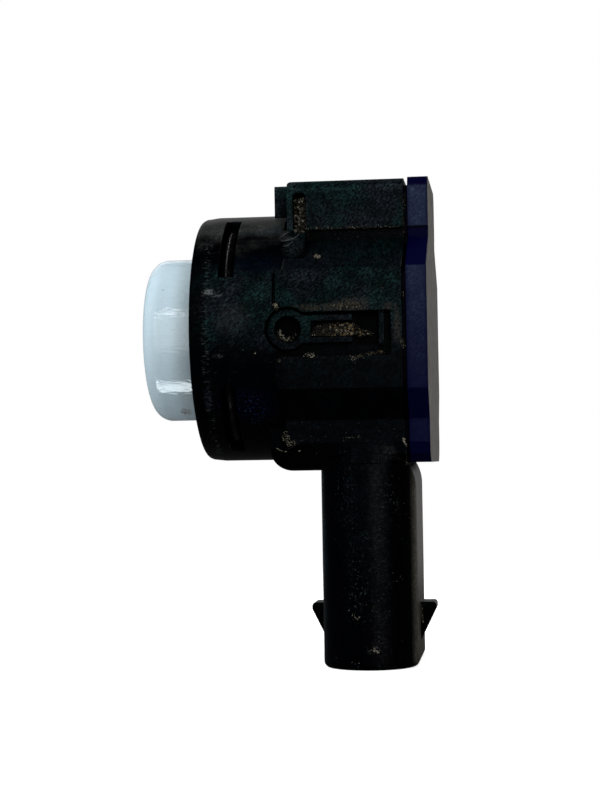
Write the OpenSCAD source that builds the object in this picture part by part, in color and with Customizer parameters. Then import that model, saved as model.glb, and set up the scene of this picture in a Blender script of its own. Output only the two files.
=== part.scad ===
// Ultrasonic parking sensor: a round barrel with a sounding cup in front, a stepped body with a clip pocket
// on each side, a welded rear cover, and a three-pin connector that points down.
// The sensing axis runs along Y, the cup faces -Y, the cover faces +Y and the connector points to -Z.
// The origin lies on the sensing axis, in the plane of the shoulder behind the barrel.

/* [Sounding cup] */
// Distance from the shoulder to the front of the cup
cup_reach = 12.8; // [12.2:0.1:13.6]
// Length of the cup
cup_len = 9.2; // [8.4:0.1:9.8]
// Rounding of the cup's front edge
cup_edge_r = 1.6; // [0.8:0.1:2.2]
// Thickness of the sounding face
cup_floor = 0.8; // [0.5:0.1:1.2]
// Wall of the cup
cup_wall = 2.5; // [2:0.1:2.8]
// How far the cup's neck draws in inside the decoupling ring
neck_step = 0.2; // [0.1:0.05:0.6]
// How far the flange at the back of the cup stands out
flange_out = 0.8; // [0.5:0.1:1.2]
// Thickness of that flange
flange_t = 1.2; // [0.8:0.1:1.6]
// Distance from the cup's bore to the sounder disc
piezo_room = 1.7; // [1.3:0.1:2.4]
// Thickness of the sounder disc
piezo_t = 0.5; // [0.3:0.05:0.8]
// Thickness of the damping foam
foam_t = 2.6; // [2:0.1:3.4]
// Depth of the fill below the cup's back edge
sealant_drop = 0.4; // [0.2:0.1:1]
// Diameter of the two leads
lead_d = 0.5; // [0.3:0.05:0.6]
// Height of the signal lead below the axis
signal_drop = 1.4; // [0.8:0.1:2.2]
// Distance from the cup's bore to the middle of the ground lead
ground_room = 0.8; // [0.5:0.1:0.9]

/* [Barrel] */
// Diameter of the barrel
barrel_d = 22.6; // [22:0.1:23.4]
// Distance from the shoulder to the front of the barrel
barrel_len = 7.75; // [7.4:0.05:8.2]
// Wall round the decoupling ring
barrel_wall = 1.8; // [1.5:0.1:2]
// Room for the decoupling ring between the cup and the barrel
ring_room = 2; // [1.6:0.1:2.4]
// Rounding of the barrel's front edge
barrel_edge_r = 0.4; // [0.2:0.05:0.8]
// Length of the lead-in taper behind the barrel's front edge
taper_len = 1.5; // [1:0.1:1.8]
// How far the taper draws in
taper_drop = 0.18; // [0.05:0.01:0.3]
// Distance from the shoulder to the windows
window_offset = 3.8; // [3.5:0.1:4.2]
// Width of a window along the barrel
window_len = 1.4; // [1:0.1:1.6]
// Length of a window round the barrel, in degrees
window_angle = 42; // [30:1:50]
// Place of a window's middle above and below the side, in degrees
window_place = 46; // [42:1:50]
// Depth of the ring's tabs below the barrel's surface
tab_depth = 0.6; // [0.3:0.1:1]
// How much shorter a tab is than its window, in degrees
tab_room = 1; // [0.5:0.5:3]
// How far the ring stands out of the barrel
ring_proud = 0.15; // [0:0.05:0.4]
// Bevel of the ring's front edge
ring_bevel = 0.3; // [0.1:0.05:0.6]
// Thickness of the ring behind the cup
ring_lip_t = 1; // [0.7:0.1:1.2]
// How far the ring and its ledge reach in behind the cup
ledge_w = 3.1; // [2.8:0.1:3.6]
// Thickness of the ledge that the ring rests on
ledge_t = 1.4; // [1:0.1:1.8]
// Wall of the barrel behind the ledge
neck_wall = 2.3; // [2:0.1:2.6]
// Width of the relief line between barrel and shoulder
relief_len = 0.33; // [0.2:0.01:0.5]
// Depth of the relief line
relief_depth = 0.6; // [0.3:0.1:0.9]
// Height of the relief line's lower end above the axis
relief_low = 1.9; // [1.7:0.05:2.4]
// Distance from the relief line's upper end to the edge of the wide band
relief_margin = 0.1; // [0.05:0.05:0.6]

/* [Body] */
// Distance from the shoulder to the back of the housing
body_len = 11; // [10.6:0.1:11.6]
// How far the wide band stands out past the barrel
band_proud = 0; // [0:0.05:0.4]
// Height of the wide band
band_h = 10.4; // [10:0.1:11]
// Width of the narrow head
head_w = 12.8; // [12.4:0.1:13.4]
// Height of the head's top above the axis
head_top = 13.75; // [13.4:0.05:14.4]
// Height of the head's lower edge above the axis
head_low = 9.2; // [8.9:0.1:9.6]
// Rounding of the head's long edges
head_edge_r = 1.2; // [0.6:0.1:1.6]
// Overhang of the head above the slope
head_overhang = 0.3; // [0.1:0.05:0.5]
// Depth of the slope's upper edge below the head's lower edge
slope_drop = 0.9; // [0.6:0.05:1.1]
// Rounding of the head's front edge
head_front_r = 0.4; // [0.2:0.05:0.5]
// Length of the groove in front of the head
head_groove_len = 0.3; // [0.2:0.02:0.4]
// Width of the foot below the wide band
foot_w = 19; // [18.8:0.1:19.8]
// Depth of the body's underside below the barrel
foot_drop = 0.4; // [0.1:0.1:0.7]
// Height of the foot
foot_h = 3.8; // [3.4:0.1:4.1]
// Height of the bend in the foot's sides above the underside
foot_bend_h = 1.8; // [1.5:0.1:2.1]
// How far the foot's sides draw in below the bend
foot_bevel = 0.8; // [0.4:0.1:1.2]
// How far the head and the foot start behind the shoulder
setback = 0.55; // [0.4:0.05:1]
// Wall of the head and of the foot
body_wall = 1.8; // [1.5:0.1:2]
// Wall of the wide band, which holds the clip pockets
band_wall = 2.4; // [2.2:0.1:2.6]
// Inset of the room's corners where its walls start to slope
corner_inset = 0.3; // [0.2:0.1:0.6]

/* [Lip and chin] */
// How far the lip stands in front of the shoulder
lip_reach = 0.93; // [0.6:0.01:1.2]
// Width of the lip
lip_w = 6.7; // [5.6:0.1:7.6]
// Depth of the lip's top below the head's top
lip_drop = 0.05; // [0.05:0.05:0.6]
// Rounding of the lip
lip_r = 0.3; // [0.2:0.05:0.5]
// How far the chin stands in front of the shoulder
chin_reach = 1.07; // [0.6:0.01:1.4]
// Depth of the chin's underside below the body's
chin_drop = 0.6; // [0.4:0.1:1]
// Width of the chin
chin_w = 15; // [13:0.1:16]
// Rounding of the chin
chin_r = 1.8; // [1:0.1:2]

/* [Clip pockets] */
// Depth of the pocket in the side
pocket_depth = 1; // [0.7:0.1:1.2]
// Height of the pocket above the axis
pocket_up = 1.5; // [1.45:0.05:1.9]
// Depth of the pocket below the axis
pocket_down = 2.4; // [2:0.1:2.8]
// Wall between the pocket and the back of the housing
pocket_wall = 0.98; // [0.8:0.02:1.1]
// How far the keyhole boss stays below the side
boss_drop = 0.3; // [0.1:0.05:0.5]
// Distance from the shoulder to the middle of the boss
boss_place = 1.02; // [0.8:0.02:1.4]
// Diameter of the round end of the boss
boss_d = 3.5; // [3.2:0.1:3.6]
// Room round the boss
boss_room = 0.25; // [0.1:0.05:0.4]
// Diameter of the blind hole in the boss
hole_d = 2.4; // [1.8:0.1:2.6]
// Depth of that hole
hole_depth = 1.3; // [0.8:0.1:1.5]
// Height of the boss's two arms together
fork_h = 2.4; // [2.1:0.1:2.6]
// Rounding between the round end and the arms
fork_r = 0.8; // [0.4:0.1:1.2]
// Distance from the ends of the arms to the deep notch
fork_room = 0.1; // [0.05:0.05:0.6]
// Height of the gap between the arms
gap_h = 1.46; // [1.1:0.02:1.6]
// Length of that gap
gap_len = 3.6; // [3:0.1:3.7]
// Length of the deep notch in front of the catch rib
notch_len = 2.21; // [1.8:0.01:2.3]
// Height of the notch
notch_h = 2.9; // [2.4:0.1:3.1]
// Depth of the notch
notch_depth = 1.6; // [1.3:0.1:1.8]
// Gap behind the catch rib
rib_gap = 0.6; // [0.4:0.05:0.8]
// Thickness of the catch rib
rib_t = 0.46; // [0.3:0.02:0.7]
// Height of the catch rib
rib_h = 3; // [2.4:0.1:3.1]
// Distance from the shoulder to the slot in the head's side
head_slot_start = 1.08; // [1.05:0.01:1.4]
// Width of that slot
head_slot_w = 1.2; // [0.9:0.02:1.3]
// Distance from the head's top to the slot
head_slot_drop = 1.17; // [0.9:0.01:1.6]
// Depth of that slot
head_slot_depth = 1.2; // [0.6:0.1:1.3]
// Rounding of the slot's upper corners
head_slot_r = 0.4; // [0.1:0.05:0.4]

/* [Rear cover] */
// Open seam between housing and cover
seam = 0.37; // [0.25:0.01:0.5]
// Depth of the seam
seam_depth = 0.55; // [0.4:0.05:0.7]
// Thickness of the cover
cover_t = 1.8; // [1.4:0.1:2.2]
// How far the cover stands out past the housing
cover_over = 0.1; // [0:0.05:0.2]
// How far the cover's rim reaches into the housing
spigot_depth = 0.8; // [0.4:0.1:1]
// Thickness of that rim
spigot_t = 0.9; // [0.7:0.1:1.2]
// Room round that rim
spigot_fit = 0.15; // [0.05:0.05:0.3]

/* [Connector] */
// Width of the connector tower
tower_w = 18.6; // [17.6:0.1:18.8]
// Thickness of the connector tower
tower_t = 8.5; // [8.2:0.1:8.8]
// How far the tower stands out behind the housing
tower_out = 0.65; // [0.4:0.05:0.7]
// Depth of the tower's rim below the axis
tower_low = 29.8; // [28.8:0.1:31]
// Wall of the connector socket
tower_wall = 1.2; // [1:0.1:1.3]
// Rounding of the tower's shoulder under the cover
shoulder_r = 4; // [3:0.1:4.2]
// Width of the flat pad at the tower's root
root_pad_w = 2.4; // [1.8:0.1:3]
// How far that pad stays inside the foot's side
root_pad_inset = 0.05; // [0.02:0.01:0.08]
// Rounding of the tower's rim
rim_r = 0.5; // [0.3:0.05:0.55]
// Bevel inside the mouth of the socket
mouth_bevel = 0.4; // [0.2:0.05:0.5]
// Depth of the connector socket
socket_depth = 14; // [12:0.1:15]
// Distance from the rim to the latch lugs' upper faces
lug_rise = 5.4; // [4.6:0.1:6.4]
// How far the latch lugs stand out
lug_h = 1.42; // [1:0.02:1.46]
// Length of the latch lugs
lug_len = 3.45; // [3:0.05:3.8]
// Width of the latch lugs
lug_w = 3.2; // [2.4:0.1:4.4]
// Rounding of the latch lugs' tips
lug_r = 0.3; // [0.2:0.05:0.4]
// Side of a contact pin
pin_t = 0.64; // [0.5:0.02:0.7]
// Distance between contact pins
pin_pitch = 4; // [3:0.1:4.4]
// Distance from the rim to the pins' tips
pin_recess = 4.6; // [4:0.1:6]
// Length of the pins' pointed tips
pin_point = 0.8; // [0.5:0.1:1.2]
// Height of the pins' bent ends above the floor of the housing
pin_rise = 1.7; // [1.5:0.1:2]
// Bend radius at the middle of a pin
pin_bend_r = 1; // [0.7:0.1:1.1]

/* [Electronics] */
// Thickness of the circuit board
board_t = 1; // [0.8:0.1:1.4]
// Distance from the back of the housing to the board
board_sink = 1.4; // [1.3:0.1:1.8]
// Room round the board
board_room = 0.25; // [0.15:0.05:0.4]
// Width of the four ribs that carry the board
carrier_w = 1.4; // [1:0.1:1.8]
// Distance from the axis to those ribs
carrier_gap = 2.6; // [2:0.1:2.8]
// Length of leads and pins behind the board
tail_len = 0.7; // [0.6:0.05:0.9]
// Height of the solder behind the board
solder_h = 0.5; // [0.3:0.05:0.55]
// Width of the solder's foot round a lead or a pin
solder_foot = 0.4; // [0.2:0.05:0.6]
// Width of the solder's upper edge round a lead or a pin
solder_edge = 0.08; // [0.05:0.01:0.15]
// Distance from those ribs to the large parts on the board
parts_room = 0.7; // [0.4:0.1:0.9]
// Side of the control chip
chip_w = 4; // [3:0.5:5]
// Thickness of the control chip
chip_t = 0.85; // [0.7:0.05:1.2]
// Terminals along each side of the control chip
chip_terminals = 7; // [5:1:8]
// Thickness of those terminals, and how far they stand out
terminal_t = 0.1; // [0.05:0.05:0.2]
// Height of the control chip's middle above the axis
chip_up = 1.4; // [1:0.1:1.6]
// Side of the transformer
transformer_w = 5.8; // [5.4:0.1:6.4]
// Thickness of the transformer's core
core_t = 1.6; // [1.4:0.1:1.7]
// Height of the transformer's middle above the board
transformer_h = 2.3; // [2.2:0.1:2.8]
// Distance from the middle of the board to the transformer
transformer_gap = 0.5; // [0.3:0.1:0.6]
// Height of the transformer's middle above the axis
transformer_up = 2.6; // [2.3:0.1:2.8]
// Wall of the transformer's bobbin
bobbin_t = 0.25; // [0.2:0.01:0.35]
// Outside diameter of the winding
winding_d = 4; // [3.8:0.1:4.2]
// Length of the storage capacitor
storage_len = 5; // [4.4:0.1:5.8]
// Width of the storage capacitor
storage_w = 3.2; // [2.6:0.1:3.4]
// Height of the storage capacitor
storage_h = 2.5; // [1.6:0.1:3]
// Length of the protection diode
diode_len = 4.3; // [3.6:0.1:4.6]
// Width of the protection diode
diode_w = 2.6; // [1.6:0.1:2.8]
// Height of the protection diode
diode_h = 2.2; // [1:0.1:2.4]
// Depth of the storage capacitor and the diode below the axis
power_drop = 4.7; // [4.5:0.1:5]
// Length of their bent feet
moulded_foot = 0.9; // [0.5:0.1:1.2]
// How far their moulded bodies draw in at top and bottom
moulded_draw = 0.3; // [0.1:0.05:0.4]
// Length of a small chip part
small_len = 1.6; // [1:0.1:1.8]
// Width of a small chip part
small_w = 0.8; // [0.5:0.1:0.9]
// Height of a small capacitor
capacitor_h = 0.8; // [0.5:0.1:1]
// Height of a small resistor
resistor_h = 0.45; // [0.3:0.05:0.6]
// Length of the metal caps of small chip parts
cap_len = 0.3; // [0.2:0.05:0.4]
// How far those caps stand out
cap_skin = 0.04; // [0.02:0.01:0.08]
// Room between small chip parts
small_room = 0.4; // [0.3:0.1:0.5]
// Height of the row of small capacitors above the axis
capacitor_up = 7; // [6.9:0.1:7.4]
// Height of the row of small resistors above the axis
resistor_up = 5.5; // [5.4:0.1:5.6]
// Distance from the middle of the board to the first small resistor
resistor_start = 0.6; // [0.4:0.1:0.9]

/* [Hidden] */
$fn = 64;
// Gap between pieces that are pressed or moulded together
seat = 0.03;
// Reach of a cut past the surface that it opens
past = 1;

barrel_r = barrel_d / 2;
barrel_front = -barrel_len;
barrel_bore_r = barrel_r - barrel_wall;

cup_r = barrel_bore_r - ring_room;
cup_front = -cup_reach;
cup_back = cup_front + cup_len;
cup_bore_r = cup_r - cup_wall;
cup_inside = cup_front + cup_floor;
neck_r = cup_r - neck_step;
flange_r = cup_r + flange_out;
flange_front = cup_back - flange_t;
piezo_r = cup_bore_r - piezo_room;
piezo_back = cup_inside + piezo_t;
foam_back = piezo_back + foam_t;
ground_drop = cup_bore_r - ground_room;
lead_r = lead_d / 2;
lead_hole_r = lead_r + seat;

ring_front = barrel_front - ring_proud;
ring_back = cup_back + seat + ring_lip_t;
ledge_front = ring_back + seat;
ledge_back = ledge_front + ledge_t;
ledge_bore_r = barrel_bore_r - ledge_w;
neck_bore_r = barrel_r - neck_wall;
window_back = -window_offset;
window_front = window_back - window_len;
window_angles = [for (side = [0, 180]) for (turn = [-window_place, window_place]) side + turn];
relief_high = band_h / 2 - relief_margin;

side_x = barrel_r + band_proud;
lip_top = head_top - lip_drop;
foot_low = barrel_r + foot_drop;
foot_top = foot_low - foot_h;
foot_bend = foot_low - foot_bend_h;
chin_low = foot_low + chin_drop;
boss_x = side_x - boss_drop;
pocket_x = side_x - pocket_depth;
pocket_end = body_len - pocket_wall;
rib_end = pocket_end - rib_gap;
rib_start = rib_end - rib_t;
notch_x = side_x - notch_depth;
notch_start = rib_start - notch_len;
fork_end = notch_start - fork_room;
gap_start = fork_end - gap_len;
head_slot_top = head_top - head_slot_drop;
cavity_front = setback + body_wall;
cavity_top = head_top - body_wall;
cavity_floor = body_wall - foot_low;
cavity_side = side_x - band_wall;
carrier_x = cavity_side - carrier_w;

board_back = body_len - board_sink;
board_front = board_back - board_t;
tail_end = board_back + tail_len;

cover_front = body_len + seam;
cover_back = cover_front + cover_t;

tower_r = tower_t / 2;
tower_back = body_len + tower_out;
tower_place = tower_back - tower_r;
tower_run = tower_w / 2 - tower_r;
tower_top = -foot_bend;
socket_r = tower_r - tower_wall;
socket_floor = socket_depth - tower_low;
lug_top = tower_low - lug_rise;
pin_tip = pin_recess - tower_low;
pin_drop = -cavity_floor - pin_rise;
pin_steps = [-1, 0, 1];
// Holes for the square pins in the board are round
pin_hole_r = pin_t * sqrt(2) / 2 + seat;

parts_reach = carrier_x - parts_room;
chip_place = [parts_reach - chip_w / 2, chip_up];
transformer_place = [-transformer_gap - transformer_w / 2, transformer_up];
storage_place = [storage_len / 2 - parts_reach, -power_drop];
diode_place = [parts_reach - diode_len / 2, -power_drop];
capacitor_pitch = small_len + 2 * small_room;
capacitor_places = [for (step = [-1.5:1.5]) [step * capacitor_pitch, capacitor_up]];
resistor_pitch = small_w + small_room;
resistor_places = [for (step = [0:4]) [resistor_start + step * resistor_pitch, resistor_up]];
// The bobbin's round tube runs over the square middle leg of the core
tube_bore_r = core_t * sqrt(2) / 2 + seat;
tube_r = tube_bore_r + bobbin_t;
bobbin_half = transformer_w / 2 - core_t / 2 - seat;

// Outline in x and z, drawn out along the sensing axis from y0 to y1
module slab(y0, y1) {
    rotate([90, 0, 0])
        translate([0, 0, -y1])
            linear_extrude(y1 - y0)
                children();
}

// Profile in radius and y, turned round the sensing axis
module turned() {
    rotate([-90, 0, 0])
        rotate_extrude()
            children();
}

// The same profile, turned only through an arc with its middle at an angle above the side
module turned_arc(middle, angle) {
    rotate([-90, 0, 0])
        rotate([0, 0, -middle - angle / 2])
            rotate_extrude(angle = angle)
                children();
}

// Outline in y and z, drawn out sideways from x0 to x1
module across(x0, x1) {
    rotate([90, 0, 90])
        translate([0, 0, x0])
            linear_extrude(x1 - x0)
                children();
}

module both_sides() {
    children();
    mirror([1, 0, 0])
        children();
}

// Rectangle between two corners
module span(low, high) {
    translate(low)
        square(high - low);
}

// What a rounding takes off a corner at the origin that points to +x and +y
module corner_cut(r) {
    difference() {
        span([-r, -r], [past, past]);
        translate([-r, -r])
            circle(r);
    }
}

// Outline made of points on the right side and their mirror images
module mirrored_outline(points) {
    last = len(points) - 1;
    polygon(concat(points, [for (i = [last:-1:0]) [-points[i][0], points[i][1]]]));
}

// Long round-ended form: a half profile in distance and height, along a run in x and turned at both ends
module stadium(run) {
    for (end = [-run, run])
        translate([end, 0, 0])
            rotate_extrude()
                children();
    across(-run, run) {
        children();
        mirror([1, 0])
            children();
    }
}

// Stepped outline of the housing and the cover, grown by an amount
module body_outline(grow = 0) {
    head_x = head_w / 2 + grow;
    band_x = side_x + grow;
    foot_x = foot_w / 2 + grow;
    band_z = band_h / 2 + grow;
    top = head_top + grow;
    low = head_low + grow;
    bottom = -foot_low;
    difference() {
        span([-head_x, low], [head_x, top]);
        for (side = [0, 1])
            mirror([side, 0])
                translate([head_x, top])
                    corner_cut(head_edge_r);
    }
    mirrored_outline([
        [head_x - head_overhang, low + head_overhang],
        [head_x - head_overhang, low - slope_drop],
        [band_x, band_z],
        [band_x, -band_z],
        [foot_x, -foot_top],
        [foot_x, -foot_bend],
        [foot_x - foot_bevel / 2, bottom + foot_bevel],
        [foot_x - 2 * foot_bevel, bottom]
    ]);
}

// Outline of the room inside the housing, less an amount
module cavity_outline(less = 0) {
    head_x = head_w / 2 - body_wall - less;
    band_x = cavity_side - less;
    foot_x = foot_w / 2 - body_wall - less;
    mirrored_outline([
        [head_x, cavity_top - less],
        [head_x, head_low - slope_drop - corner_inset - less],
        [band_x, band_h / 2 - corner_inset - less],
        [band_x, corner_inset - band_h / 2],
        [foot_x, corner_inset - foot_top],
        [foot_x, cavity_floor + less]
    ]);
}

// Half profile of the connector tower, from its spine outwards
module tower_half_profile() {
    difference() {
        span([0, -tower_low], [tower_r, tower_top]);
        translate([tower_r, -tower_low])
            mirror([0, 1])
                corner_cut(rim_r);
    }
}

// Half profile of the socket, with its bevelled mouth
module socket_half_profile() {
    mouth = -tower_low;
    polygon([
        [0, mouth - past],
        [socket_r + mouth_bevel, mouth - past],
        [socket_r + mouth_bevel, mouth],
        [socket_r, mouth + mouth_bevel],
        [socket_r, socket_floor],
        [0, socket_floor]
    ]);
}

// Side view of the tower, with the shoulder rounded off under the cover
module tower_side() {
    difference() {
        span([tower_place - tower_r - past, -tower_low - past], [tower_back, tower_top]);
        translate([tower_back, tower_top])
            corner_cut(shoulder_r);
    }
}

// Latch lug on the back of the tower: a flat upper face, a round tip and a ramp
module lug() {
    root = tower_back;
    tip = root + lug_h;
    across(-lug_w / 2, lug_w / 2)
        difference() {
            polygon([
                [root - tower_wall / 2, -lug_top],
                [tip, -lug_top],
                [tip, -lug_top - 2 * lug_r],
                [root, -lug_top - lug_len],
                [root - tower_wall / 2, -lug_top - lug_len]
            ]);
            translate([tip, -lug_top])
                corner_cut(lug_r);
        }
}

// Flat pad that carries the foot's side down to its underside, over the middle of the tower
module root_pad() {
    across(tower_run, foot_w / 2 - root_pad_inset)
        translate([tower_place, 0])
            span([-root_pad_w / 2, -foot_low], [root_pad_w / 2, seat - foot_bend]);
}

module tower() {
    intersection() {
        translate([0, tower_place, 0])
            stadium(tower_run)
                tower_half_profile();
        across(-tower_w, tower_w)
            tower_side();
    }
    lug();
    translate([0, 2 * tower_place, 0])
        mirror([0, 1, 0])
            lug();
    both_sides()
        root_pad();
}

module barrel() {
    nose_r = barrel_r - taper_drop;
    turned()
        difference() {
            polygon([
                [0, barrel_front],
                [nose_r, barrel_front],
                [barrel_r, barrel_front + taper_len],
                [barrel_r, cavity_front],
                [0, cavity_front]
            ]);
            translate([nose_r, barrel_front])
                mirror([0, 1])
                    corner_cut(barrel_edge_r);
        }
}

// Head, wide band and foot behind the shoulder, with the head's front edge rounded
module body() {
    difference() {
        slab(setback, body_len)
            body_outline();
        across(-head_w / 2 - past, head_w / 2 + past)
            translate([setback, head_top])
                mirror([1, 0])
                    corner_cut(head_front_r);
    }
    slab(0, setback + seat)
        span([-side_x, -band_h / 2], [side_x, band_h / 2]);
}

// Narrow lip in front of the head
module lip() {
    slab(-lip_reach, setback + head_front_r)
        difference() {
            span([-lip_w / 2, 0], [lip_w / 2, lip_top]);
            for (side = [0, 1])
                mirror([side, 0])
                    translate([lip_w / 2, lip_top])
                        corner_cut(lip_r);
        }
}

// Chin under the barrel, rounded towards the front and at its sides
module chin() {
    intersection() {
        across(-chin_w / 2, chin_w / 2)
            difference() {
                span([-chin_reach, -chin_low], [tower_place, -foot_top]);
                translate([-chin_reach, -chin_low])
                    rotate(180)
                        corner_cut(chin_r);
            }
        slab(-chin_reach - past, tower_place + past)
            difference() {
                span([-chin_w / 2, -chin_low], [chin_w / 2, 0]);
                for (side = [0, 1])
                    mirror([side, 0])
                        translate([chin_w / 2, -chin_low])
                            mirror([0, 1])
                                corner_cut(chin_r);
            }
    }
}

// Side view of the clip pocket, without the pieces that stand in it
module pocket_outline() {
    span([0, -pocket_down], [pocket_end, pocket_up]);
    translate([boss_place, 0])
        circle(boss_d / 2 + boss_room);
}

// Side view of the keyhole boss: a round end that flows into two arms
module boss_outline() {
    bend_z = fork_h / 2 + fork_r;
    bend_y = boss_place + sqrt(pow(boss_d / 2 + fork_r, 2) - pow(bend_z, 2));
    difference() {
        union() {
            translate([boss_place, 0])
                circle(boss_d / 2);
            span([boss_place, -fork_h / 2], [fork_end, fork_h / 2]);
            for (side = [0, 1])
                mirror([0, side])
                    difference() {
                        polygon([[boss_place, 0], [bend_y, 0], [bend_y, bend_z]]);
                        translate([bend_y, bend_z])
                            circle(fork_r);
                    }
        }
        span([gap_start, -gap_h / 2], [fork_end + past, gap_h / 2]);
    }
}

module rib_outline() {
    span([rib_start, -rib_h / 2], [rib_end, rib_h / 2]);
}

// What is taken out of the right side for the clip
module clip_cut() {
    across(pocket_x, side_x + past)
        difference() {
            pocket_outline();
            boss_outline();
            rib_outline();
        }
    across(boss_x, side_x + past) {
        boss_outline();
        rib_outline();
    }
    across(notch_x, side_x)
        span([notch_start, -notch_h / 2], [rib_start, notch_h / 2]);
    across(boss_x - hole_depth, side_x + past)
        translate([boss_place, 0])
            circle(hole_d / 2);
}

// Slot in the right side of the head, open at the head's lower edge
module head_slot_cut() {
    middle = head_slot_start + head_slot_w / 2;
    across(head_w / 2 - head_slot_depth, head_w / 2 + past)
        translate([middle, 0])
            difference() {
                span([-head_slot_w / 2, head_low - head_overhang], [head_slot_w / 2, head_slot_top]);
                for (side = [0, 1])
                    mirror([side, 0])
                        translate([head_slot_w / 2, head_slot_top])
                            corner_cut(head_slot_r);
            }
}

// Fine line that parts the barrel from the shoulder
module relief_cut() {
    low_angle = asin(relief_low / barrel_r);
    high_angle = asin(relief_high / barrel_r);
    turned_arc((low_angle + high_angle) / 2, high_angle - low_angle)
        span([barrel_r - relief_depth, -relief_len], [barrel_r + past, 0]);
}

// Groove between the barrel and the head, from the lip's side down to the head's lower edge
module head_groove_cut() {
    low_angle = asin(head_low / barrel_r);
    high_angle = acos(lip_w / 2 / barrel_r);
    turned_arc((low_angle + high_angle) / 2, high_angle - low_angle)
        span([barrel_r - relief_depth, setback - head_groove_len], [barrel_r + past, setback]);
}

// Ribs in the corners of the cavity, on which the board rests
module board_carriers() {
    for (height = [carrier_gap, -carrier_gap - carrier_w])
        translate([0, 0, height])
            across(carrier_x, notch_x - seat)
                span([cavity_front - past, 0], [board_front, carrier_w]);
}

module pin_place(which) {
    translate([which * pin_pitch, 0, 0])
        children();
}

module housing() {
    color([0.09, 0.1, 0.11])
        difference() {
            union() {
                difference() {
                    union() {
                        barrel();
                        body();
                        lip();
                        chin();
                        tower();
                    }
                    turned()
                        polygon([
                            [0, barrel_front - past],
                            [barrel_bore_r, barrel_front - past],
                            [barrel_bore_r, ledge_front],
                            [ledge_bore_r, ledge_front],
                            [ledge_bore_r, ledge_back],
                            [neck_bore_r, ledge_back],
                            [neck_bore_r, cavity_front],
                            [0, cavity_front]
                        ]);
                    slab(cavity_front, body_len + past)
                        cavity_outline();
                }
                both_sides()
                    board_carriers();
            }
            both_sides() {
                clip_cut();
                head_slot_cut();
                relief_cut();
                head_groove_cut();
            }
            for (angle = window_angles)
                turned_arc(angle, window_angle)
                    span([barrel_bore_r - past, window_front], [barrel_r + past, window_back]);
            translate([0, tower_place, 0])
                stadium(tower_run)
                    socket_half_profile();
            for (which = pin_steps)
                pin_place(which)
                    translate([0, tower_place, (socket_floor + cavity_floor) / 2])
                        cube([pin_t + 2 * seat, pin_t + 2 * seat, cavity_floor - socket_floor + past], center = true);
        }
}

module rear_cover() {
    color([0.12, 0.13, 0.27]) {
        slab(cover_front, cover_back)
            body_outline(cover_over);
        slab(body_len, cover_front + seat)
            body_outline(-seam_depth);
        slab(body_len - spigot_depth, body_len + seat)
            difference() {
                cavity_outline(spigot_fit);
                cavity_outline(spigot_fit + spigot_t);
            }
    }
}

module membrane_cup() {
    color([0.93, 0.94, 0.96])
        turned()
            difference() {
                union() {
                    span([0, cup_front], [cup_r, ring_front - seat]);
                    span([0, cup_front + cup_edge_r], [neck_r, cup_back]);
                    span([0, flange_front], [flange_r, cup_back]);
                }
                translate([cup_r, cup_front])
                    mirror([0, 1])
                        corner_cut(cup_edge_r);
                span([0, cup_inside], [cup_bore_r, cup_back + past]);
            }
}

module decoupling_ring() {
    crest_r = (window_len - 2 * seat) / 2;
    outside = barrel_bore_r - seat;
    color([0.06, 0.07, 0.09]) {
        turned()
            polygon([
                [neck_r + seat, ring_front],
                [outside - ring_bevel, ring_front],
                [outside, ring_front + ring_bevel],
                [outside, ring_back],
                [ledge_bore_r, ring_back],
                [ledge_bore_r, cup_back + seat],
                [flange_r + seat, cup_back + seat],
                [flange_r + seat, flange_front - seat],
                [neck_r + seat, flange_front - seat]
            ]);
        for (angle = window_angles)
            turned_arc(angle, window_angle - tab_room) {
                crest = barrel_r - tab_depth - crest_r;
                middle = (window_front + window_back) / 2;
                span([outside - seat, middle - crest_r], [crest, middle + crest_r]);
                translate([crest, middle])
                    circle(crest_r);
            }
    }
}

module piezo_disc() {
    color([0.72, 0.68, 0.6])
        turned()
            span([0, cup_inside], [piezo_r, piezo_back]);
}

// Holes that let the two leads through a round piece between y0 and y1
module lead_holes(y0, y1) {
    for (drop = [signal_drop, ground_drop])
        translate([0, 0, -drop])
            slab(y0, y1)
                circle(lead_hole_r);
}

module foam_damper() {
    color([0.32, 0.32, 0.34])
        difference() {
            turned()
                span([0, piezo_back], [cup_bore_r - seat, foam_back]);
            lead_holes(piezo_back - past, foam_back + past);
        }
}

module cup_sealant() {
    back = cup_back - sealant_drop;
    color([0.6, 0.56, 0.48])
        difference() {
            turned()
                span([0, foam_back], [cup_bore_r - seat, back]);
            lead_holes(foam_back - past, back + past);
        }
}

// Straight lead from the cup through the board
module lead(start, drop) {
    translate([0, 0, -drop])
        slab(start, tail_end)
            circle(lead_r);
}

module signal_lead() {
    color([0.75, 0.2, 0.15])
        lead(piezo_back, signal_drop);
}

module ground_lead() {
    color([0.15, 0.15, 0.16])
        lead(cup_inside, ground_drop);
}

module circuit_board() {
    color([0.1, 0.35, 0.2])
        slab(board_front, board_back)
            difference() {
                cavity_outline(board_room);
                for (drop = [signal_drop, ground_drop])
                    translate([0, -drop])
                        circle(lead_hole_r);
                for (which = pin_steps)
                    translate([which * pin_pitch, -pin_drop])
                        circle(pin_hole_r);
            }
}

// Place on the front of the board, with the part's base at zero and its top towards the cup
module on_board(place) {
    translate([place[0], board_front, place[1]])
        rotate([90, 0, 0])
            children();
}

// Cuboid that stands on the board, by its length, width and height
module block(length, width, height, lift = 0) {
    translate([-length / 2, -width / 2, lift])
        cube([length, width, height]);
}

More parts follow.
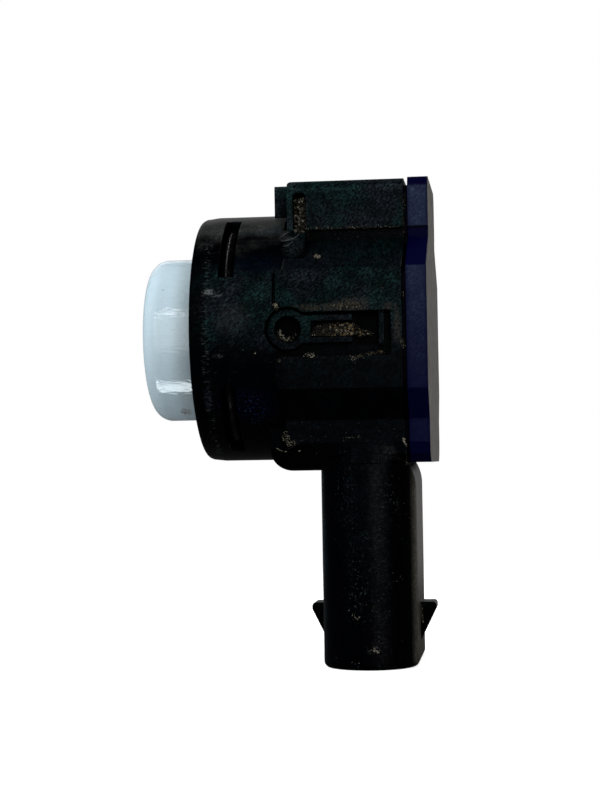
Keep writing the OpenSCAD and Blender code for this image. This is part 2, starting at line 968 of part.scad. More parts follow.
module control_chip() {
    pitch = chip_w / (chip_terminals + 1);
    color([0.12, 0.12, 0.13])
        on_board(chip_place) {
            difference() {
                block(chip_w, chip_w, chip_t);
                translate([-chip_w / 2 + pitch, chip_w / 2 - pitch, chip_t - terminal_t])
                    cylinder(h = past, r = pitch / 2);
            }
            for (turn = [0:90:270])
                rotate(turn)
                    for (i = [1:chip_terminals])
                        translate([chip_w / 2, i * pitch - chip_w / 2, 0])
                            block(2 * terminal_t, pitch / 2, terminal_t);
        }
}

// Half of the transformer's core: a yoke with three legs that end short of the middle
module core_half() {
    half = transformer_w / 2;
    leg = core_t / 2;
    translate([0, 0, transformer_h - core_t / 2])
        linear_extrude(core_t)
            difference() {
                span([-half, seat], [half, half]);
                for (side = [0, 1])
                    mirror([side, 0])
                        span([leg, -past], [half - leg, half - leg]);
            }
}

module transformer_core() {
    color([0.25, 0.25, 0.27])
        on_board(transformer_place) {
            core_half();
            mirror([0, 1, 0])
                core_half();
        }
}

// Round tube over the core's middle leg, between two flanges that stand on the board
module transformer_bobbin() {
    flange_w = transformer_w - core_t - 2 * seat;
    color([0.5, 0.42, 0.28])
        on_board(transformer_place)
            difference() {
                union() {
                    translate([0, 0, transformer_h])
                        rotate([90, 0, 0])
                            cylinder(h = 2 * bobbin_half, r = tube_r, center = true);
                    for (end = [0, 1])
                        mirror([0, end, 0])
                            translate([0, bobbin_half - bobbin_t / 2, 0])
                                block(flange_w, bobbin_t, transformer_h + winding_d / 2);
                }
                translate([0, 0, transformer_h])
                    rotate([90, 0, 0])
                        cylinder(h = transformer_w, r = tube_bore_r, center = true);
            }
}

module transformer_winding() {
    inner = tube_r + seat;
    half = bobbin_half - bobbin_t - seat;
    edge = bobbin_t;
    color([0.72, 0.4, 0.2])
        on_board(transformer_place)
            translate([0, 0, transformer_h])
                rotate([90, 0, 0])
                    rotate_extrude()
                        polygon([
                            [inner, -half],
                            [winding_d / 2 - edge, -half],
                            [winding_d / 2, edge - half],
                            [winding_d / 2, half - edge],
                            [winding_d / 2 - edge, half],
                            [inner, half]
                        ]);
}

// Moulded two-lead part: a body with drawn-in upper edges and a bent foot at each end
module moulded_part(length, width, height) {
    rotate([90, 0, 0])
        translate([0, 0, -width / 2])
            linear_extrude(width)
                polygon([
                    [moulded_draw - length / 2, moulded_draw],
                    [length / 2 - moulded_draw, moulded_draw],
                    [length / 2, height / 2],
                    [length / 2 - moulded_draw, height],
                    [moulded_draw - length / 2, height],
                    [-length / 2, height / 2]
                ]);
    for (end = [-1, 1])
        translate([end * (length - moulded_foot) / 2, 0, 0])
            block(moulded_foot, width / 2, height / 2);
}

module storage_capacitor() {
    color([0.75, 0.6, 0.15])
        on_board(storage_place)
            moulded_part(storage_len, storage_w, storage_h);
}

module protection_diode() {
    color([0.14, 0.14, 0.15])
        on_board(diode_place)
            moulded_part(diode_len, diode_w, diode_h);
}

// Chip part with a wider cap at each end
module chip_part(height) {
    block(small_len - cap_len, small_w - 2 * cap_skin, height - 2 * cap_skin, cap_skin);
    for (end = [-1, 1])
        translate([end * (small_len - cap_len) / 2, 0, 0])
            block(cap_len, small_w, height);
}

module filter_capacitors() {
    color([0.62, 0.5, 0.38])
        for (place = capacitor_places)
            on_board(place)
                chip_part(capacitor_h);
}

module chip_resistors() {
    color([0.16, 0.16, 0.17])
        for (place = resistor_places)
            on_board(place)
                rotate(90)
                    chip_part(resistor_h);
}

// Side view of a contact pin's bent end: round the bend and back through the board
module pin_bend_side() {
    half = pin_t / 2;
    centre = [tower_place + pin_bend_r, -pin_drop - pin_bend_r];
    span([centre[0], -pin_drop - half], [tail_end, half - pin_drop]);
    intersection() {
        translate(centre)
            difference() {
                circle(pin_bend_r + half);
                circle(pin_bend_r - half);
            }
        span([tower_place - past, centre[1]], [centre[0], past - pin_drop]);
    }
}

// View of a contact pin's straight shank and its pointed tip, with the middle at a given place
module shank_outline(middle) {
    half = pin_t / 2;
    top = -pin_drop - pin_bend_r;
    translate([middle, 0])
        mirrored_outline([[half, top], [half, pin_tip + pin_point], [half / 2, pin_tip]]);
}

module contact_pin(which) {
    color([0.78, 0.74, 0.6])
        pin_place(which) {
            intersection() {
                across(-pin_t / 2, pin_t / 2)
                    shank_outline(tower_place);
                slab(0, tail_end)
                    shank_outline(0);
            }
            across(-pin_t / 2, pin_t / 2)
                pin_bend_side();
        }
}

module left_pin() {
    contact_pin(-1);
}

module centre_pin() {
    contact_pin(0);
}

module right_pin() {
    contact_pin(1);
}

// Cone of solder on the back of the board
module solder_cone(place, inner) {
    translate([place[0], 0, place[1]])
        turned()
            polygon([
                [inner, board_back],
                [inner + solder_foot, board_back],
                [inner + solder_edge, board_back + solder_h],
                [inner, board_back + solder_h]
            ]);
}

module solder_joints() {
    color([0.7, 0.71, 0.73]) {
        for (drop = [signal_drop, ground_drop])
            solder_cone([0, -drop], lead_hole_r);
        for (which = pin_steps)
            solder_cone([which * pin_pitch, -pin_drop], pin_hole_r);
    }
}

housing();
rear_cover();
membrane_cup();
decoupling_ring();
piezo_disc();
foam_damper();
cup_sealant();
signal_lead();
ground_lead();
circuit_board();
control_chip();
transformer_core();
transformer_bobbin();
transformer_winding();
storage_capacitor();
protection_diode();
filter_capacitors();
chip_resistors();
left_pin();
centre_pin();
right_pin();
solder_joints();
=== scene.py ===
"""Studio picture of an ultrasonic parking sensor: finishes, road dirt, lamps and camera."""
import math

import bpy
import numpy as np
from mathutils import Matrix, Vector


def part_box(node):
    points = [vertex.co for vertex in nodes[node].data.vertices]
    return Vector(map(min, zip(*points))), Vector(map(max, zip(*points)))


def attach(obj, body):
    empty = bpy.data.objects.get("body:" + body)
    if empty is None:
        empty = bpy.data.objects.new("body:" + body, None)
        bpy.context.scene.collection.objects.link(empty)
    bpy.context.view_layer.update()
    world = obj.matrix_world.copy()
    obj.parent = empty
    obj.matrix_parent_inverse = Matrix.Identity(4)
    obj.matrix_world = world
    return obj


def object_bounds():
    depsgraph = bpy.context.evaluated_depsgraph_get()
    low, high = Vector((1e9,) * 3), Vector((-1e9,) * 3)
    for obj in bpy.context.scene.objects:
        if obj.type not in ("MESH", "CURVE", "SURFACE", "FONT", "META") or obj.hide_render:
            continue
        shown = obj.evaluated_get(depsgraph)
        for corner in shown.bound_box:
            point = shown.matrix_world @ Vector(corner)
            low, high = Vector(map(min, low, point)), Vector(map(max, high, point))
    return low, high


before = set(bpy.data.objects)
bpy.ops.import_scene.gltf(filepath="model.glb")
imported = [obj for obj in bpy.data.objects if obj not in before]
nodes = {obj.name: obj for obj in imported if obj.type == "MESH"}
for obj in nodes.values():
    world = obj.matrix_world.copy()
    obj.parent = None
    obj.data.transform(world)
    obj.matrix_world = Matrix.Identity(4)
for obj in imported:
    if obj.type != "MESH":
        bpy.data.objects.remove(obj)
cad_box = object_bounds()
MM = 0.001


def rgb(red, green, blue):
    """A linear colour with full alpha."""
    return (red, green, blue, 1.0)


# Camera of the photograph: frame and focal length in pixels, sensor width, place in metres, and axes
PHOTO_W, PHOTO_H = 600, 800
FOCAL_PX = 1832.2
SENSOR_MM = 36.0
CAMERA_PLACE = Vector((168.82, 20.48, -11.34)) * MM
CAMERA_RIGHT = Vector((-0.11676, 0.99302, -0.01654))
CAMERA_UP = Vector((0.03055, 0.02023, 0.99933))
CAMERA_BACK = Vector((0.99269, 0.11618, -0.03270))

# Tones of dried soil, from damp to dry and pale, and then rusty, by the tint of a grain
SOIL_TONES = [
    (0.00, rgb(0.004, 0.004, 0.003)),
    (0.30, rgb(0.014, 0.012, 0.008)),
    (0.55, rgb(0.052, 0.046, 0.031)),
    (0.75, rgb(0.230, 0.215, 0.175)),
    (0.88, rgb(0.105, 0.066, 0.014)),
    (1.00, rgb(0.060, 0.018, 0.009)),
]

# Scuffs of the housing: middle in pixels, radii in millimetres, strength, colour, noise level of wear
SCUFFS = [
    ((208, 292), (1.2, 0.75, 0.34), 0.90, rgb(0.110, 0.118, 0.122), 0.42),
    ((215, 295), (1.2, 0.90, 0.28), 0.75, rgb(0.080, 0.088, 0.092), 0.46),
    ((232, 320), (1.6, 2.2, 1.9), 0.30, rgb(0.030, 0.032, 0.034), 0.40),
    ((218, 356), (0.8, 0.7, 0.25), 0.55, rgb(0.050, 0.055, 0.060), 0.40),
    ((208, 400), (1.0, 0.5, 2.6), 0.35, rgb(0.018, 0.024, 0.040), 0.40),
    # The next two entries lay wide deep-blue patches on dark parts of the barrel.
    ((248, 405), (3.0, 4.2, 2.4), 0.85, rgb(0.0004, 0.0010, 0.0080), 0.40),
    ((256, 264), (3.0, 4.2, 1.4), 0.80, rgb(0.0004, 0.0022, 0.0062), 0.40),
    ((293, 248), (2.0, 1.2, 1.3), 0.35, rgb(0.022, 0.030, 0.034), 0.40),
    ((290, 239), (1.2, 0.95, 0.30), 0.40, rgb(0.060, 0.065, 0.062), 0.40),
    ((397, 325), (0.6, 0.45, 2.0), 0.65, rgb(0.034, 0.032, 0.028), 0.40),
    ((320, 307), (0.4, 3.4, 0.50), 0.60, rgb(0.034, 0.032, 0.027), 0.40),
    ((352, 304), (0.4, 2.2, 0.80), 0.70, rgb(0.040, 0.038, 0.032), 0.40),
    ((389, 306), (0.4, 0.9, 0.50), 0.60, rgb(0.034, 0.032, 0.028), 0.40),
    ((389, 452), (1.5, 1.0, 1.0), 0.40, rgb(0.030, 0.032, 0.034), 0.40),
    ((357, 592), (1.5, 1.2, 2.4), 0.55, rgb(0.040, 0.052, 0.055), 0.59),
    ((374, 650), (1.5, 0.7, 0.6), 0.85, rgb(0.080, 0.080, 0.076), 0.52),
    ((388, 500), (1.5, 1.6, 2.2), 0.80, rgb(0.050, 0.056, 0.060), 0.58),
    ((345, 500), (1.5, 1.6, 3.5), 0.60, rgb(0.040, 0.050, 0.052), 0.60),
    ((362, 560), (1.5, 2.0, 6.0), 0.50, rgb(0.030, 0.044, 0.048), 0.58),
]

# Spans in metres over which one zone of the surface passes into the next, along Y
HEAD_HIGHLIGHT_END = (1.15 * MM, 1.05 * MM)
BARREL_END = (0.9 * MM, 0.3 * MM)
TAPER_END = (-6.45 * MM, -6.10 * MM)
TAPER_LINE_START = (-6.75 * MM, -6.30 * MM)
TAPER_LINE_END = (-5.75 * MM, -6.15 * MM)
TOWER_DUST_START = (4.6 * MM, 6.0 * MM)
TOWER_DOTS_START = (4.8 * MM, 6.0 * MM)
TOWER_HIGHLIGHT_START = (7.6 * MM, 8.4 * MM)
TOWER_HIGHLIGHT_END = (9.7 * MM, 9.0 * MM)
COVER_START = (11.35 * MM, 11.80 * MM)
COVER_END = (13.15 * MM, 12.80 * MM)
# The last span is where painted shade greys the white cup towards the barrel.
CUP_SHADE_SPAN = (-10.4 * MM, -8.9 * MM)

# The same up Z
HEAD_HIGHLIGHT_BASE = (8.6 * MM, 9.0 * MM)
HEAD_CROWN = (12.5 * MM, 13.0 * MM)
UNDER_HEAD_SHADE_BASE = (7.9 * MM, 8.4 * MM)
UNDER_HEAD_SHADE_TOP = (9.35 * MM, 9.15 * MM)
PANEL_RISE = (-3.5 * MM, 1.5 * MM)
BARREL_UNDERSIDE_SHADE = (-0.6 * MM, -2.8 * MM)
LOW_TONE = (-2 * MM, -6 * MM)
TOWER_TOP = (-9.6 * MM, -10.2 * MM)
TOWER_DUST_RISE = (-27 * MM, -13 * MM)
COVER_RISE = (-7 * MM, 12 * MM)
COVER_CROWN_SHADE = (12.7 * MM, 13.3 * MM)

# Plastics, paint and rubber, and the dust on them
BARE_BLACK = rgb(0.0002, 0.0003, 0.0008)
TEAL_DUST = rgb(0.0110, 0.0370, 0.0370)
BLUE_DUST = rgb(0.0210, 0.0320, 0.0410)
LOW_DUST = rgb(0.0115, 0.0290, 0.0410)
SETTLED_DUST = rgb(0.082, 0.086, 0.080)
BARE_INDIGO = rgb(0.0004, 0.0004, 0.0170)
INDIGO_DUST = rgb(0.057, 0.080, 0.142)
# Pale beige of the cover's back faces
BACK_BEIGE = rgb(0.370, 0.348, 0.295)
ENAMEL_COOL = rgb(0.57, 0.74, 0.84)
ENAMEL_PALE = rgb(0.61, 0.77, 0.86)
BARE_RUBBER = rgb(0.0006, 0.0006, 0.0010)

# Dark spots on the white cup: pixel of the photograph and radius in millimetres
CUP_SPOTS = [((163, 290), 0.09), ((160, 408), 0.10), ((174, 330), 0.05)]

# White of the backdrop and of the floor's glow
WHITE = rgb(1.0, 1.0, 1.0)

# Height of the floor, which the connector's rim stands on
FLOOR_Z = cad_box[0][2]


def add_camera():
    """The camera stands where the photograph was taken, with its focal length and no shift."""
    lens = bpy.data.cameras.new("photo_camera")
    lens.sensor_fit = "AUTO"
    lens.sensor_width = SENSOR_MM
    lens.lens = FOCAL_PX / PHOTO_H * SENSOR_MM
    lens.clip_start = 0.01
    camera = bpy.data.objects.new("photo_camera", lens)
    turn = Matrix((CAMERA_RIGHT, CAMERA_UP, CAMERA_BACK)).transposed()
    camera.matrix_world = Matrix.Translation(CAMERA_PLACE) @ turn.to_4x4()
    bpy.context.scene.collection.objects.link(camera)
    bpy.context.scene.camera = camera


def seen_at(pixel):
    """Point and outward normal where the sight line of a photograph's pixel first hits the part, or None."""
    across = (pixel[0] - PHOTO_W / 2) / FOCAL_PX
    down = (pixel[1] - PHOTO_H / 2) / FOCAL_PX
    sight = (CAMERA_RIGHT * across - CAMERA_UP * down - CAMERA_BACK).normalized()
    found = []
    for node in nodes.values():
        hit, point, normal, _ = node.ray_cast(CAMERA_PLACE, sight)
        if hit:
            found.append(((point - CAMERA_PLACE).length, point, normal))
    if not found:
        return None
    _, point, normal = min(found, key=lambda row: row[0])
    return np.array(point), np.array(normal)


# Shader expressions

class Signal:
    """A socket of a node tree: an operator on it adds a Math node, and node() adds any other kind."""

    def __init__(self, tree, socket=None):
        self.tree = tree
        self.socket = socket

    def node(self, kind, output=0, inputs=None, stops=None, **settings):
        """Adds a node of that kind, sets its settings, then gives each input its value or link."""
        made = self.tree.nodes.new("ShaderNode" + kind)
        for name, value in settings.items():
            setattr(made, name, value)
        if stops:
            while len(made.color_ramp.elements) < len(stops):
                made.color_ramp.elements.new(1.0)
            for element, (place, colour) in zip(made.color_ramp.elements, stops):
                element.position = place
                element.color = colour
        for key, value in (inputs or {}).items():
            if isinstance(value, Signal):
                self.tree.links.new(value.socket, made.inputs[key])
            else:
                made.inputs[key].default_value = value
        return Signal(self.tree, made.outputs[output] if made.outputs else None)

    def maths(self, operation, first, second=0.0):
        """Adds a Math node with one or two inputs."""
        return self.node("Math", inputs={0: first, 1: second}, operation=operation)

    def __add__(self, other):
        return self.maths("ADD", self, other)

    def __sub__(self, other):
        return self.maths("SUBTRACT", self, other)

    def __rsub__(self, other):
        return self.maths("SUBTRACT", other, self)

    def __mul__(self, other):
        return self.maths("MULTIPLY", self, other)

    __radd__ = __add__
    __rmul__ = __mul__

    def step(self, low, high):
        """0 up to low, 1 from high on, with a smooth rise between; a falling step has low above high."""
        inputs = {"Value": self, "From Min": low, "From Max": high}
        return self.node("MapRange", inputs=inputs, interpolation_type="SMOOTHSTEP")


def cloud(place, size, detail=2.0, seed=0.0):
    """Soft noise from 0 to 1 whose lumps are about size millimetres across."""
    shifted = shift(place, (seed, seed, seed)) if seed else place
    inputs = {"Vector": shifted, "Scale": 1 / (size * MM), "Detail": detail}
    return shifted.node("TexNoise", inputs=inputs)


def shift(place, offset):
    """The same place moved by an offset in metres, for a second pattern unlike the first."""
    return place.node("VectorMath", inputs={0: place, 1: offset}, operation="ADD")


def stretch(place, lengths, turn=(0.0, 0.0, 0.0)):
    """Noise of lumps with three lengths in millimetres along axes that are turned by three angles."""
    scale = tuple(length * MM for length in lengths)
    inputs = {"Vector": place, "Rotation": turn, "Scale": scale}
    turned = place.node("Mapping", inputs=inputs, vector_type="TEXTURE")
    return place.node("TexNoise", inputs={"Vector": turned, "Scale": 1.0, "Detail": 2.0})


def specks(place, spacing, share, size):
    """1 on sparse dots: a share of points spacing millimetres apart, size as a share of that spacing."""
    inputs = {"Vector": place, "Scale": 1 / (spacing * MM)}
    reach = place.node("TexVoronoi", inputs=inputs)
    tone = place.node("TexVoronoi", "Color", inputs=inputs)
    pick = tone.node("SeparateColor", inputs={0: tone})
    return reach.step(size, size * 0.4) * pick.step(share, share - 0.02)


def patch(place, centre, radii):
    """1 in the middle of an ellipsoid round a point and 0 outside it, with radii in millimetres."""
    offset = place.node("VectorMath", inputs={0: place, 1: tuple(centre)}, operation="SUBTRACT")
    reaches = tuple(radius * MM for radius in radii)
    share = place.node("VectorMath", inputs={0: offset, 1: reaches}, operation="DIVIDE")
    reach = place.node("VectorMath", "Value", inputs={0: share}, operation="LENGTH")
    return reach.step(1.0, 0.3)


# Sockets of a Mix node that mixes two colours
MIX_FACTOR, MIX_FIRST, MIX_SECOND, MIX_RESULT = 0, 6, 7, 2


def mix(factor, first, second):
    """The first colour where factor is 0 and the second where it is 1."""
    inputs = {MIX_FACTOR: factor, MIX_FIRST: first, MIX_SECOND: second}
    return factor.node("Mix", MIX_RESULT, inputs=inputs, data_type="RGBA")


def component(vector, axis):
    """One of a vector's three parts, by the index of its axis."""
    return vector.node("SeparateXYZ", axis, inputs={0: vector})


def bumped(height, strength, depth, over=None):
    """A normal that a height tilts, with its depth in millimetres, over another normal where one is given."""
    inputs = {"Strength": strength, "Distance": depth * MM, "Height": height}
    if over:
        inputs["Normal"] = over
    return height.node("Bump", inputs=inputs)


def new_finish(name):
    """A material with an empty node tree, and the Object coordinates in that tree."""
    material = bpy.data.materials.new(name)
    material.use_nodes = True
    material.node_tree.nodes.clear()
    return material, Signal(material.node_tree).node("TexCoord", "Object")


def close_finish(material, **sockets):
    """Ends a material in one Principled surface; each keyword is a socket's name with _ for a space."""
    tree = Signal(material.node_tree)
    inputs = {name.replace("_", " "): value for name, value in sockets.items()}
    surface = tree.node("BsdfPrincipled", inputs=inputs)
    tree.node("OutputMaterial", inputs={"Surface": surface})
    return material


# Finishes of the outside

def dust_flecks(place, seed):
    """Dust from 0 to 1: short strokes that rise to the back and fine powder, both thinned in wide patches."""
    moved = shift(place, (seed, 0.0, seed))
    stroke = stretch(moved, (0.36, 0.36, 0.11), (math.radians(36), 0.0, 0.0)).step(0.46, 0.66)
    powder = cloud(place, 0.15, 3.0, seed).step(0.45, 0.70)
    film = cloud(place, 1.4, 3.0, seed * 2).step(0.36, 0.64)
    return (stroke * 0.52 + powder * 0.45 + 0.05) * (film * 0.55 + 0.45)


def moulded_surface(material, place, base, rough):
    """Ends a moulded plastic: its edges are rounded in the normal, and a fine grain lies over it."""
    edge_normal = place.node("Bevel", inputs={"Radius": 0.14 * MM}, samples=6)
    grain = cloud(place, 0.12, 3.0)
    normal = bumped(grain, 0.35, 0.02, edge_normal)
    return close_finish(material, Base_Color=base, Roughness=rough, Normal=normal, Specular_IOR_Level=0.032)


def black_moulding():
    """Satin black housing: teal-grey dust on flat faces, grey dust on the barrel's top, soil, scuffs, painted
    shade in hollows and below, and painted highlights.
    """
    material, place = new_finish("black_moulding")
    normal = place.node("NewGeometry", "True Normal")
    side = component(normal, 0)
    upward = component(normal, 2)
    along = component(place, 1)
    height = component(place, 2)
    near_air = place.node("AmbientOcclusion", "AO", inputs={"Distance": 0.6 * MM}, samples=8)
    wide_air = place.node("AmbientOcclusion", "AO", inputs={"Distance": 2.2 * MM}, samples=8)

    # Painted shade: dust is kept off faces that the wide occlusion finds shut in, so recesses stay black.
    unshaded_open_face = wide_air.step(0.45, 0.82)
    # Painted highlight: the head's rounded front edge takes the flat faces' dust, for the light it catches.
    head_front_highlight = height.step(*HEAD_HIGHLIGHT_BASE) * along.step(*HEAD_HIGHLIGHT_END)
    head_crown = height.step(*HEAD_CROWN) * side.step(0.15, 0.45) * 0.8
    uneven = (cloud(place, 2.2, 2.0, 0.4) - 0.5) * 0.30
    flat = (side * side + uneven).step(0.68, 0.86) + head_front_highlight * side.step(0.35, 0.65) + head_crown
    # The flat faces' lighter tone fades out towards the bottom.
    raised = height.step(*PANEL_RISE) * 0.78 + 0.22
    behind_taper = along.step(*TAPER_END) * 0.75 + 0.25
    barrel = along.step(*BARREL_END)
    # Painted shade: below a ragged height the barrel loses its dust and goes dark.
    barrel_underside_shade = barrel * (height + uneven * 4 * MM).step(*BARREL_UNDERSIDE_SHADE) * 0.75
    slope_grain = stretch(place, (0.5, 0.15, 0.28)).step(0.38, 0.66)
    slope = upward.step(0.60, 0.80) * (1 - barrel) * (slope_grain * 0.19 + 0.01)
    # Painted shade: the wall under the head's overhang is kept bare and dark.
    under_head_shade = height.step(*UNDER_HEAD_SHADE_TOP) * height.step(*UNDER_HEAD_SHADE_BASE) * (1 - barrel) * 0.85
    tower = height.step(*TOWER_TOP)
    tower_dust = tower * height.step(*TOWER_DUST_RISE) * along.step(*TOWER_DUST_START) * 0.22
    flecks = dust_flecks(place, 0.3)
    front = (component(normal, 1) + uneven * 0.6).step(-0.84, -1.0)
    top = upward.step(0.94, 0.99) * (1 - barrel) * 0.75
    sides = flat * (raised * (1 - under_head_shade) * (1 - barrel_underside_shade) * (1 - tower) + tower_dust)
    spread = front + top + sides
    dusty = (spread * flecks + slope) * unshaded_open_face * behind_taper
    teal = cloud(place, 3.5, 2.0, 0.5).step(0.40, 0.60)
    tone = mix(teal, TEAL_DUST, BLUE_DUST)
    tone = mix(height.step(*LOW_TONE), tone, LOW_DUST)
    base = mix(dusty, BARE_BLACK, tone)

    settled = (upward + uneven * 1.7).step(0.62, 0.98) * barrel * (dust_flecks(place, 0.9) * 0.7 + 0.15)
    base = mix(settled, base, SETTLED_DUST)
    # Painted highlight: a speckled grey band runs down the tower's side where a reflection would lie.
    ragged = along + (cloud(place, 0.4, 4.0, 0.2) - 0.5) * 1.6 * MM
    tower_highlight_band = ragged.step(*TOWER_HIGHLIGHT_START) * ragged.step(*TOWER_HIGHLIGHT_END) * side.step(0.5, 0.7)
    base = mix(tower_highlight_band * tower * dust_flecks(place, 0.7) * 0.50, base, rgb(0.022, 0.023, 0.026))
    back_edge = component(normal, 1).step(0.86, 1.0) * tower * (dust_flecks(place, 1.1) * 0.8 + 0.2)
    base = mix(back_edge, base, rgb(0.128, 0.121, 0.098))
    corner = near_air.step(0.75, 0.35) * cloud(place, 0.30, 3.0, 0.7).step(0.52, 0.74)
    base = mix(corner * 0.25, base, rgb(0.013, 0.014, 0.013))
    moved = shift(place, (0.01, 0.02, 0.03))
    dots = specks(place, 0.38, 0.10, 0.20) + specks(moved, 1.0, 0.25, 0.11)
    base = mix(dots * flat * unshaded_open_face * 0.5, base, rgb(0.040, 0.044, 0.043))
    tower_dots = specks(shift(place, (0.03, 0.01, 0.02)), 0.55, 0.35, 0.15) * tower
    tower_dots = tower_dots * along.step(*TOWER_DOTS_START) * side.step(0.6, 0.8)
    base = mix(tower_dots * 0.5, base, rgb(0.040, 0.056, 0.060))
    base = mix(scratches(place) * 0.35, base, rgb(0.035, 0.039, 0.042))

    strokes = stretch(place, (0.4, 0.45, 0.10)).step(0.55, 0.70)
    taper_edge = along.step(*TAPER_LINE_START) * along.step(*TAPER_LINE_END)
    base = mix(taper_edge * strokes * 0.75, base, rgb(0.045, 0.050, 0.053))
    for pixel, radii, strength, tint, level in SCUFFS:
        centre, _ = seen_at(pixel)
        worn = patch(place, centre, radii) * cloud(place, 0.18, 3.0, 0.9).step(level, level + 0.16)
        base = mix(worn * strength, base, tint)
    blue_patch = patch(place, seen_at((251, 409))[0], (3.0, 1.7, 2.0))
    base = mix(blue_patch * specks(place, 0.22, 0.70, 0.34) * 0.8, base, rgb(0.018, 0.036, 0.100))
    mould_line = patch(place, (9.0 * MM, 7.4 * MM, -13.6 * MM), (3.0, 4.0, 0.07))
    broken = cloud(place, 0.8, 2.0).step(0.40, 0.60)
    base = mix(mould_line * broken * 0.35, base, rgb(0.020, 0.022, 0.023))
    return moulded_surface(material, place, base, 0.33 + dusty * 0.3 + settled * 0.25)


def indigo_moulding():
    """Deep blue cover: grey-blue dust on its sides, pale beige on its back, scratches, and painted shade on
    its top edge, in its creases and at the seam.
    """
    material, place = new_finish("indigo_moulding")
    normal = place.node("NewGeometry", "True Normal")
    side = component(normal, 0)
    height = component(place, 2)
    flat = (side * side).step(0.88, 0.99)
    back = component(normal, 1).step(0.8, 0.98)
    along = component(place, 1)
    raised = height.step(*COVER_RISE) * 0.82 + 0.15
    middle = along.step(*COVER_START) * along.step(*COVER_END) * 0.55 + 0.45
    # Painted shade: no dust on the wall under the cover's head.
    under_head_shade = height.step(*UNDER_HEAD_SHADE_TOP) * height.step(*UNDER_HEAD_SHADE_BASE)
    # Painted shade: the cover's upward top edge is kept bare of dust and dark.
    crown_shade = height.step(*COVER_CROWN_SHADE)
    near_air = place.node("AmbientOcclusion", "AO", inputs={"Distance": 0.5 * MM}, samples=8)
    flecks = dust_flecks(place, 0.6)
    dusty = flat * raised * middle * (1 - under_head_shade) * (1 - crown_shade) * (flecks * 0.50 + 0.22)
    base = mix(dusty, BARE_INDIGO, INDIGO_DUST)
    # The back faces turn pale beige in patches.
    film = back * (flecks * 0.4 + cloud(place, 0.9, 4.0) * 0.6)
    base = mix(film, base, BACK_BEIGE)
    base = mix(scratches(place) * 0.25, base, rgb(0.040, 0.045, 0.060))
    base = mix(specks(place, 0.5, 0.12, 0.14) * 0.4, base, rgb(0.060, 0.062, 0.066))
    # Painted shade: corners, creases and the seam go near black where the near occlusion finds them.
    base = mix(near_air.step(0.75, 0.45), base, rgb(0.0006, 0.0006, 0.0020))
    return moulded_surface(material, place, base, 0.36 + flecks * 0.14 + back * 0.08)


def scratches(place):
    """Fine scratches: crests of two long noises, one along the part and one aslant, thinned by a third."""
    along = stretch(place, (0.08, 3.0, 0.08), (0.15, 0.0, 0.1)).step(0.66, 0.74)
    moved = shift(place, (0.2, 0.1, 0.0))
    aslant = stretch(moved, (0.08, 2.4, 0.09), (0.7, 0.2, 0.0)).step(0.67, 0.75)
    return (along + aslant) * cloud(place, 2.2, 2.0, 1.3).step(0.46, 0.66)


def white_enamel():
    """Glossy white paint on the sounding cup: orange peel, dark specks, dull scratches, a brown smear and
    painted shade towards the barrel.
    """
    material, place = new_finish("white_enamel")
    peel = cloud(place, 0.9, 2.0) + stretch(place, (0.5, 0.9, 0.24)) * 1.3
    tone = cloud(place, 4.0, 2.0, 0.3)
    dark = specks(place, 1.6, 0.16, 0.06)
    scratch = scratches(shift(place, (0.02, 0.01, 0.0)))
    base = mix(tone, ENAMEL_COOL, ENAMEL_PALE)
    base = mix(dark * 0.8, base, rgb(0.09, 0.09, 0.09))
    base = mix(cloud(place, 0.16, 2.0).step(0.50, 0.80) * 0.26, base, rgb(0.40, 0.46, 0.48))
    # Painted shade: the cup greys, mottled, towards the barrel.
    shade_near_barrel = component(place, 1).step(*CUP_SHADE_SPAN) * (cloud(place, 0.4, 4.0) * 0.5 + 0.1)
    base = mix(shade_near_barrel, base, rgb(0.36, 0.42, 0.44))
    base = mix(scratch * 0.12, base, rgb(0.45, 0.46, 0.47))
    for pixel, radius in CUP_SPOTS:
        spot = patch(place, seen_at(pixel)[0], (radius,) * 3)
        base = mix(spot * 0.8, base, rgb(0.07, 0.07, 0.07))
    rubbed = patch(place, seen_at((186, 412))[0], (1.5, 1.0, 1.2))
    rubbed = rubbed * stretch(place, (0.3, 0.7, 0.07), (-0.5, 0, 0))
    base = mix(rubbed.step(0.38, 0.58) * 0.7, base, rgb(0.16, 0.12, 0.09))
    rough = 0.08 + scratch * 0.2
    normal = bumped(peel, 0.85, 0.03)
    return close_finish(material, Base_Color=base, Roughness=rough, Normal=normal, Specular_IOR_Level=0.5)


def silicone_rubber():
    """Black silicone of the decoupling ring: smooth and a little shiny, with pale dust in patches."""
    material, place = new_finish("silicone_rubber")
    film = cloud(place, 0.7, 3.0).step(0.5, 0.8)
    base = mix(film * 0.20, BARE_RUBBER, rgb(0.012, 0.012, 0.012))
    rough = 0.18 + film * 0.3
    edge_normal = place.node("Bevel", inputs={"Radius": 0.55 * MM}, samples=8)
    normal = bumped(cloud(place, 0.2), 0.15, 0.02, edge_normal)
    return close_finish(material, Base_Color=base, Roughness=rough, Normal=normal, Specular_IOR_Level=0.12)


def road_soil():
    """Dried road soil: each grain takes its tone from the piece's own tint attribute, with fine mottling."""
    material, place = new_finish("road_soil")
    tint = place.node("Attribute", "Fac", attribute_name="tint")
    mottle = cloud(place, 0.09, 3.0)
    shade = tint + (mottle - 0.5) * 0.35
    tone = shade.node("ValToRGB", inputs={0: shade}, stops=SOIL_TONES)
    rough = 0.85 + mottle * 0.1
    normal = bumped(mottle, 0.7, 0.03)
    return close_finish(material, Base_Color=tone, Roughness=rough, Normal=normal, Specular_IOR_Level=0.2)


# Finishes of the inside

# Grain of a small moulded piece, pitch of the board's tracks and pitch of the winding's turns, in millimetres
GRAIN_MM = 0.12
TRACK_MM = 1.27
WIRE_MM = 0.12


